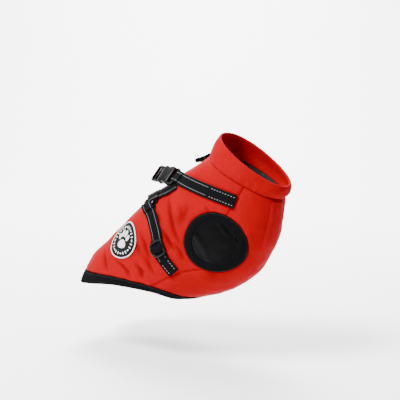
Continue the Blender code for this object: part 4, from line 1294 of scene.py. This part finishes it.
# ---------------------------------------------------------------- badge
def badge_places(u, v, lift):
    """Points u down and v across from the badge's middle, bent to the cloth and lifted off it.

    The shift is turned into a row and an angle by the two slopes of the cloth at the middle.
    """
    row, angle = np.array([BADGE_ROW]), np.array([BADGE_ANGLE])
    normal = outward(body_skin, row, angle)
    down = unit(np.cross(np.cross(normal, np.array([[0.0, 0.0, -1.0]])), normal))
    sideways = np.cross(normal, down)
    per_row = ((cloth(row + 0.002, angle) - cloth(row - 0.002, angle)) / 0.004)[0]
    per_angle = (cloth(row, angle + 0.5) - cloth(row, angle - 0.5))[0]
    shift = u[..., None] * down[0] + v[..., None] * sideways[0]
    rr, ra, aa = per_row @ per_row, per_row @ per_angle, per_angle @ per_angle
    to_row, to_angle = shift @ per_row, shift @ per_angle
    whole = rr * aa - ra * ra
    rows = BADGE_ROW + (to_row * aa - to_angle * ra) / whole
    angles = BADGE_ANGLE + (to_angle * rr - to_row * ra) / whole
    return cloth(rows, angles, LIE_ON + lift)


def pad(middle, half, tilt, rise, turns=36, rings=7, point=0.0):
    """A raised oval of thread: rings of an ellipse, their height a flat dome; point narrows one end."""
    quarter = np.linspace(0, math.pi / 2, rings)
    share = np.concatenate([np.sin(quarter), [1.0]])[:, None]
    height = BADGE_TOP + np.concatenate([(rise + 0.2) * np.cos(quarter) ** 0.6, [-0.5]])[:, None]
    turn = np.arange(turns) * 2 * math.pi / turns
    a = half[0] * share * np.cos(turn)
    b = half[1] * share * np.sin(turn) * (1 - point * np.cos(turn))
    ct, st = math.cos(math.radians(tilt)), math.sin(math.radians(tilt))
    points = badge_places(middle[0] + a * ct - b * st, middle[1] + a * st + b * ct, height)
    return points, grid_faces(rings + 1, turns, ring_columns=True)


def badge_disc():
    """A flat disc: rings out to its edge, down, and back in underneath."""
    turns = 120
    turn = np.arange(turns) * 2 * math.pi / turns
    inner = BADGE_RADIUS - BADGE_BORDER + 0.3
    radius = np.concatenate([np.linspace(0.4, inner, 16), [inner, inner, inner * 0.5, 0.4]])[:, None]
    lift = np.concatenate([np.full(16, BADGE_TOP), [BADGE_THICK - 0.5, 0.05, 0.05, 0.05]])[:, None]
    points = badge_places(radius * np.cos(turn), radius * np.sin(turn), lift)
    return points, grid_faces(len(radius), turns, True, True)


def badge_border():
    """A ring of thick satin thread: a circle carried round, swelling and shrinking 180 times."""
    turn = (np.arange(360) * 2 * math.pi / 360)[None, :]
    bend = (np.arange(10) * 2 * math.pi / 10)[:, None]
    ribs = 1 + 0.10 * np.cos(turn * 180)
    radius = BADGE_RADIUS - BADGE_BORDER / 2 + 0.36 * BADGE_BORDER * np.cos(bend) * ribs
    lift = 0.75 + 0.75 * np.sin(bend) * ribs
    points = badge_places(radius * np.cos(turn), radius * np.sin(turn), lift)
    return points, grid_faces(10, 360, True, True)


def make_badge(black, white):
    """Round badge: a flat black disc, a thick satin border, a paw print and a ring of small dashes."""
    moulding("badge_disc_cloth", "badge_disc", "badge_black", [badge_disc()], black)
    moulding("badge_border_thread", "badge_border", "badge_white", [badge_border()], white)
    parts = [pad(*PAW_HEEL, point=-0.22)] + [pad(*toe) for toe in PAW_TOES]
    for k in range(DASHES):
        t = 2 * math.pi * (k + 0.5) / DASHES
        at = (DASH_CIRCLE * math.cos(t), DASH_CIRCLE * math.sin(t))
        half = (2.5, 0.95) if k % 3 else (1.1, 2.2)
        parts.append(pad(at, half, math.degrees(t), DASH_RISE, 14, 4))
    dress(mesh_piece("badge_paw_thread", *joined(parts), white), "badge_white")


# ---------------------------------------------------------------- stage
def view_axes():
    """The camera's right, up and back, from its azimuth and elevation."""
    azimuth, elevation = math.radians(VIEW_AZIMUTH), math.radians(VIEW_ELEVATION)
    right = np.array([math.cos(azimuth), math.sin(azimuth), 0.0])
    back = np.array([math.sin(azimuth) * math.cos(elevation), -math.cos(azimuth) * math.cos(elevation),
                     math.sin(elevation)])
    return right, np.cross(back, right), back


def put(name, data, right, up, back, place):
    """A camera or lamp in the scene, turned to three axes and set at a place in metres."""
    thing = bpy.data.objects.new(name, data)
    bpy.context.scene.collection.objects.link(thing)
    matrix = np.eye(4)
    matrix[:3] = np.stack([right, up, back, place], -1)
    thing.matrix_world = Matrix(matrix.tolist())
    return thing


def set_camera():
    """A camera that looks at the middle of the coat."""
    lens = bpy.data.cameras.new("camera")
    lens.lens = LENS
    lens.sensor_width = FILM
    right, up, back = view_axes()
    place = (np.array(LOOK_AT) + back * VIEW_DISTANCE) * MM
    bpy.context.scene.camera = put("camera", lens, right, up, back, place)


def set_lamps():
    """Round soft lamps, each turned towards what it aims at."""
    centre = np.array(LOOK_AT) * MM
    for name, place, aim, size, power in LAMPS:
        data = bpy.data.lights.new(name, "AREA")
        data.shape = "DISK"
        data.size = size
        data.energy = power
        place, aim = [centre + np.array(offset) @ np.array(view_axes()) for offset in (place, aim)]
        back = unit(place - aim)
        right = unit(np.cross([0.0, 0.0, 1.0], back))
        put(name, data, right, np.cross(back, right), back, place)


def sweep_floor(material):
    """Floor that bends up into a wall behind the coat: a straight run, a quarter circle, a straight rise."""
    right, _, back = view_axes()
    away = unit(np.array([-back[0], -back[1], 0.0]))
    turn = np.linspace(0, math.pi / 2, 24)
    run = np.concatenate([[FLOOR_NEAR], FLOOR_FAR + FLOOR_BEND * np.sin(turn), [FLOOR_FAR + FLOOR_BEND]])
    rise = np.concatenate([[0.0], FLOOR_BEND * (1 - np.cos(turn)), [WALL_HEIGHT]])
    width = np.array([-FLOOR_HALF_WIDTH, FLOOR_HALF_WIDTH])[:, None]
    height = np.array([0.0, 0.0, 1.0]) * (rise[:, None, None] + FLOOR_HEIGHT)
    points = away * run[:, None, None] + right * width + height
    mesh_piece("floor_sweep", points, grid_faces(len(run), 2)[:, ::-1], material)


def set_stage():
    """Plain pale sweep, an even bright sky and the lamps."""
    pale = Finish("pale floor")
    sweep_floor(pale.made(base_color=(0.93, 0.93, 0.925, 1.0), roughness=0.95, specular_ior_level=0.1))
    world = bpy.data.worlds.new("studio")
    world.use_nodes = True
    sky = world.node_tree.nodes["Background"]
    sky.inputs["Color"].default_value = (1.0, 1.0, 1.0, 1.0)
    sky.inputs["Strength"].default_value = SKY
    bpy.context.scene.world = world
    set_lamps()


def main():
    red, lining, rib, nylon = red_shell(), dark_lining(), black_rib(), black_nylon()
    web = black_webbing("black webbing, grey lines", -1.0, 1000.0)
    web_front = black_webbing("black webbing, lines after the sewn start", SEWN_START, 1000.0)
    web_end = black_webbing("black webbing, lines before the sewn end", -1.0, SEWN_END_FROM)
    web_plain = black_webbing("black webbing, plain", 0.0, 0.0)
    white = badge_cloth("white badge thread", (0.42, 0.42, 0.41), (0.66, 0.66, 0.65))
    black_badge = badge_cloth("black badge cloth", (0.0012, 0.0012, 0.0014), (0.0034, 0.0034, 0.0040))
    light_thread = thread("pale grey thread", (0.10, 0.105, 0.105), (0.19, 0.195, 0.195))
    red_thread = thread("red thread", (0.10, 0.0003, 0.0010), (0.15, 0.0005, 0.0018))
    black_thread = thread("black thread", (0.002, 0.002, 0.0022), (0.007, 0.007, 0.0075))
    make_back_panel(red, lining)
    make_chest_panel(red, lining)
    make_placket(red)
    make_collar(red)
    make_hem_binding(rib)
    make_nape_tab(web_plain)
    make_badge(black_badge, white)
    for side in SIDES:
        make_armhole_binding(side, rib)
        make_straps(side, (web, web_front, web_end, web_plain), light_thread)
        make_slider(side, nylon)
        make_ring(side, nickel_wire())
    make_buckle(nylon)
    placket_stitches(red_thread)
    binding_stitches(black_thread)
    set_camera()
    set_stage()


main()
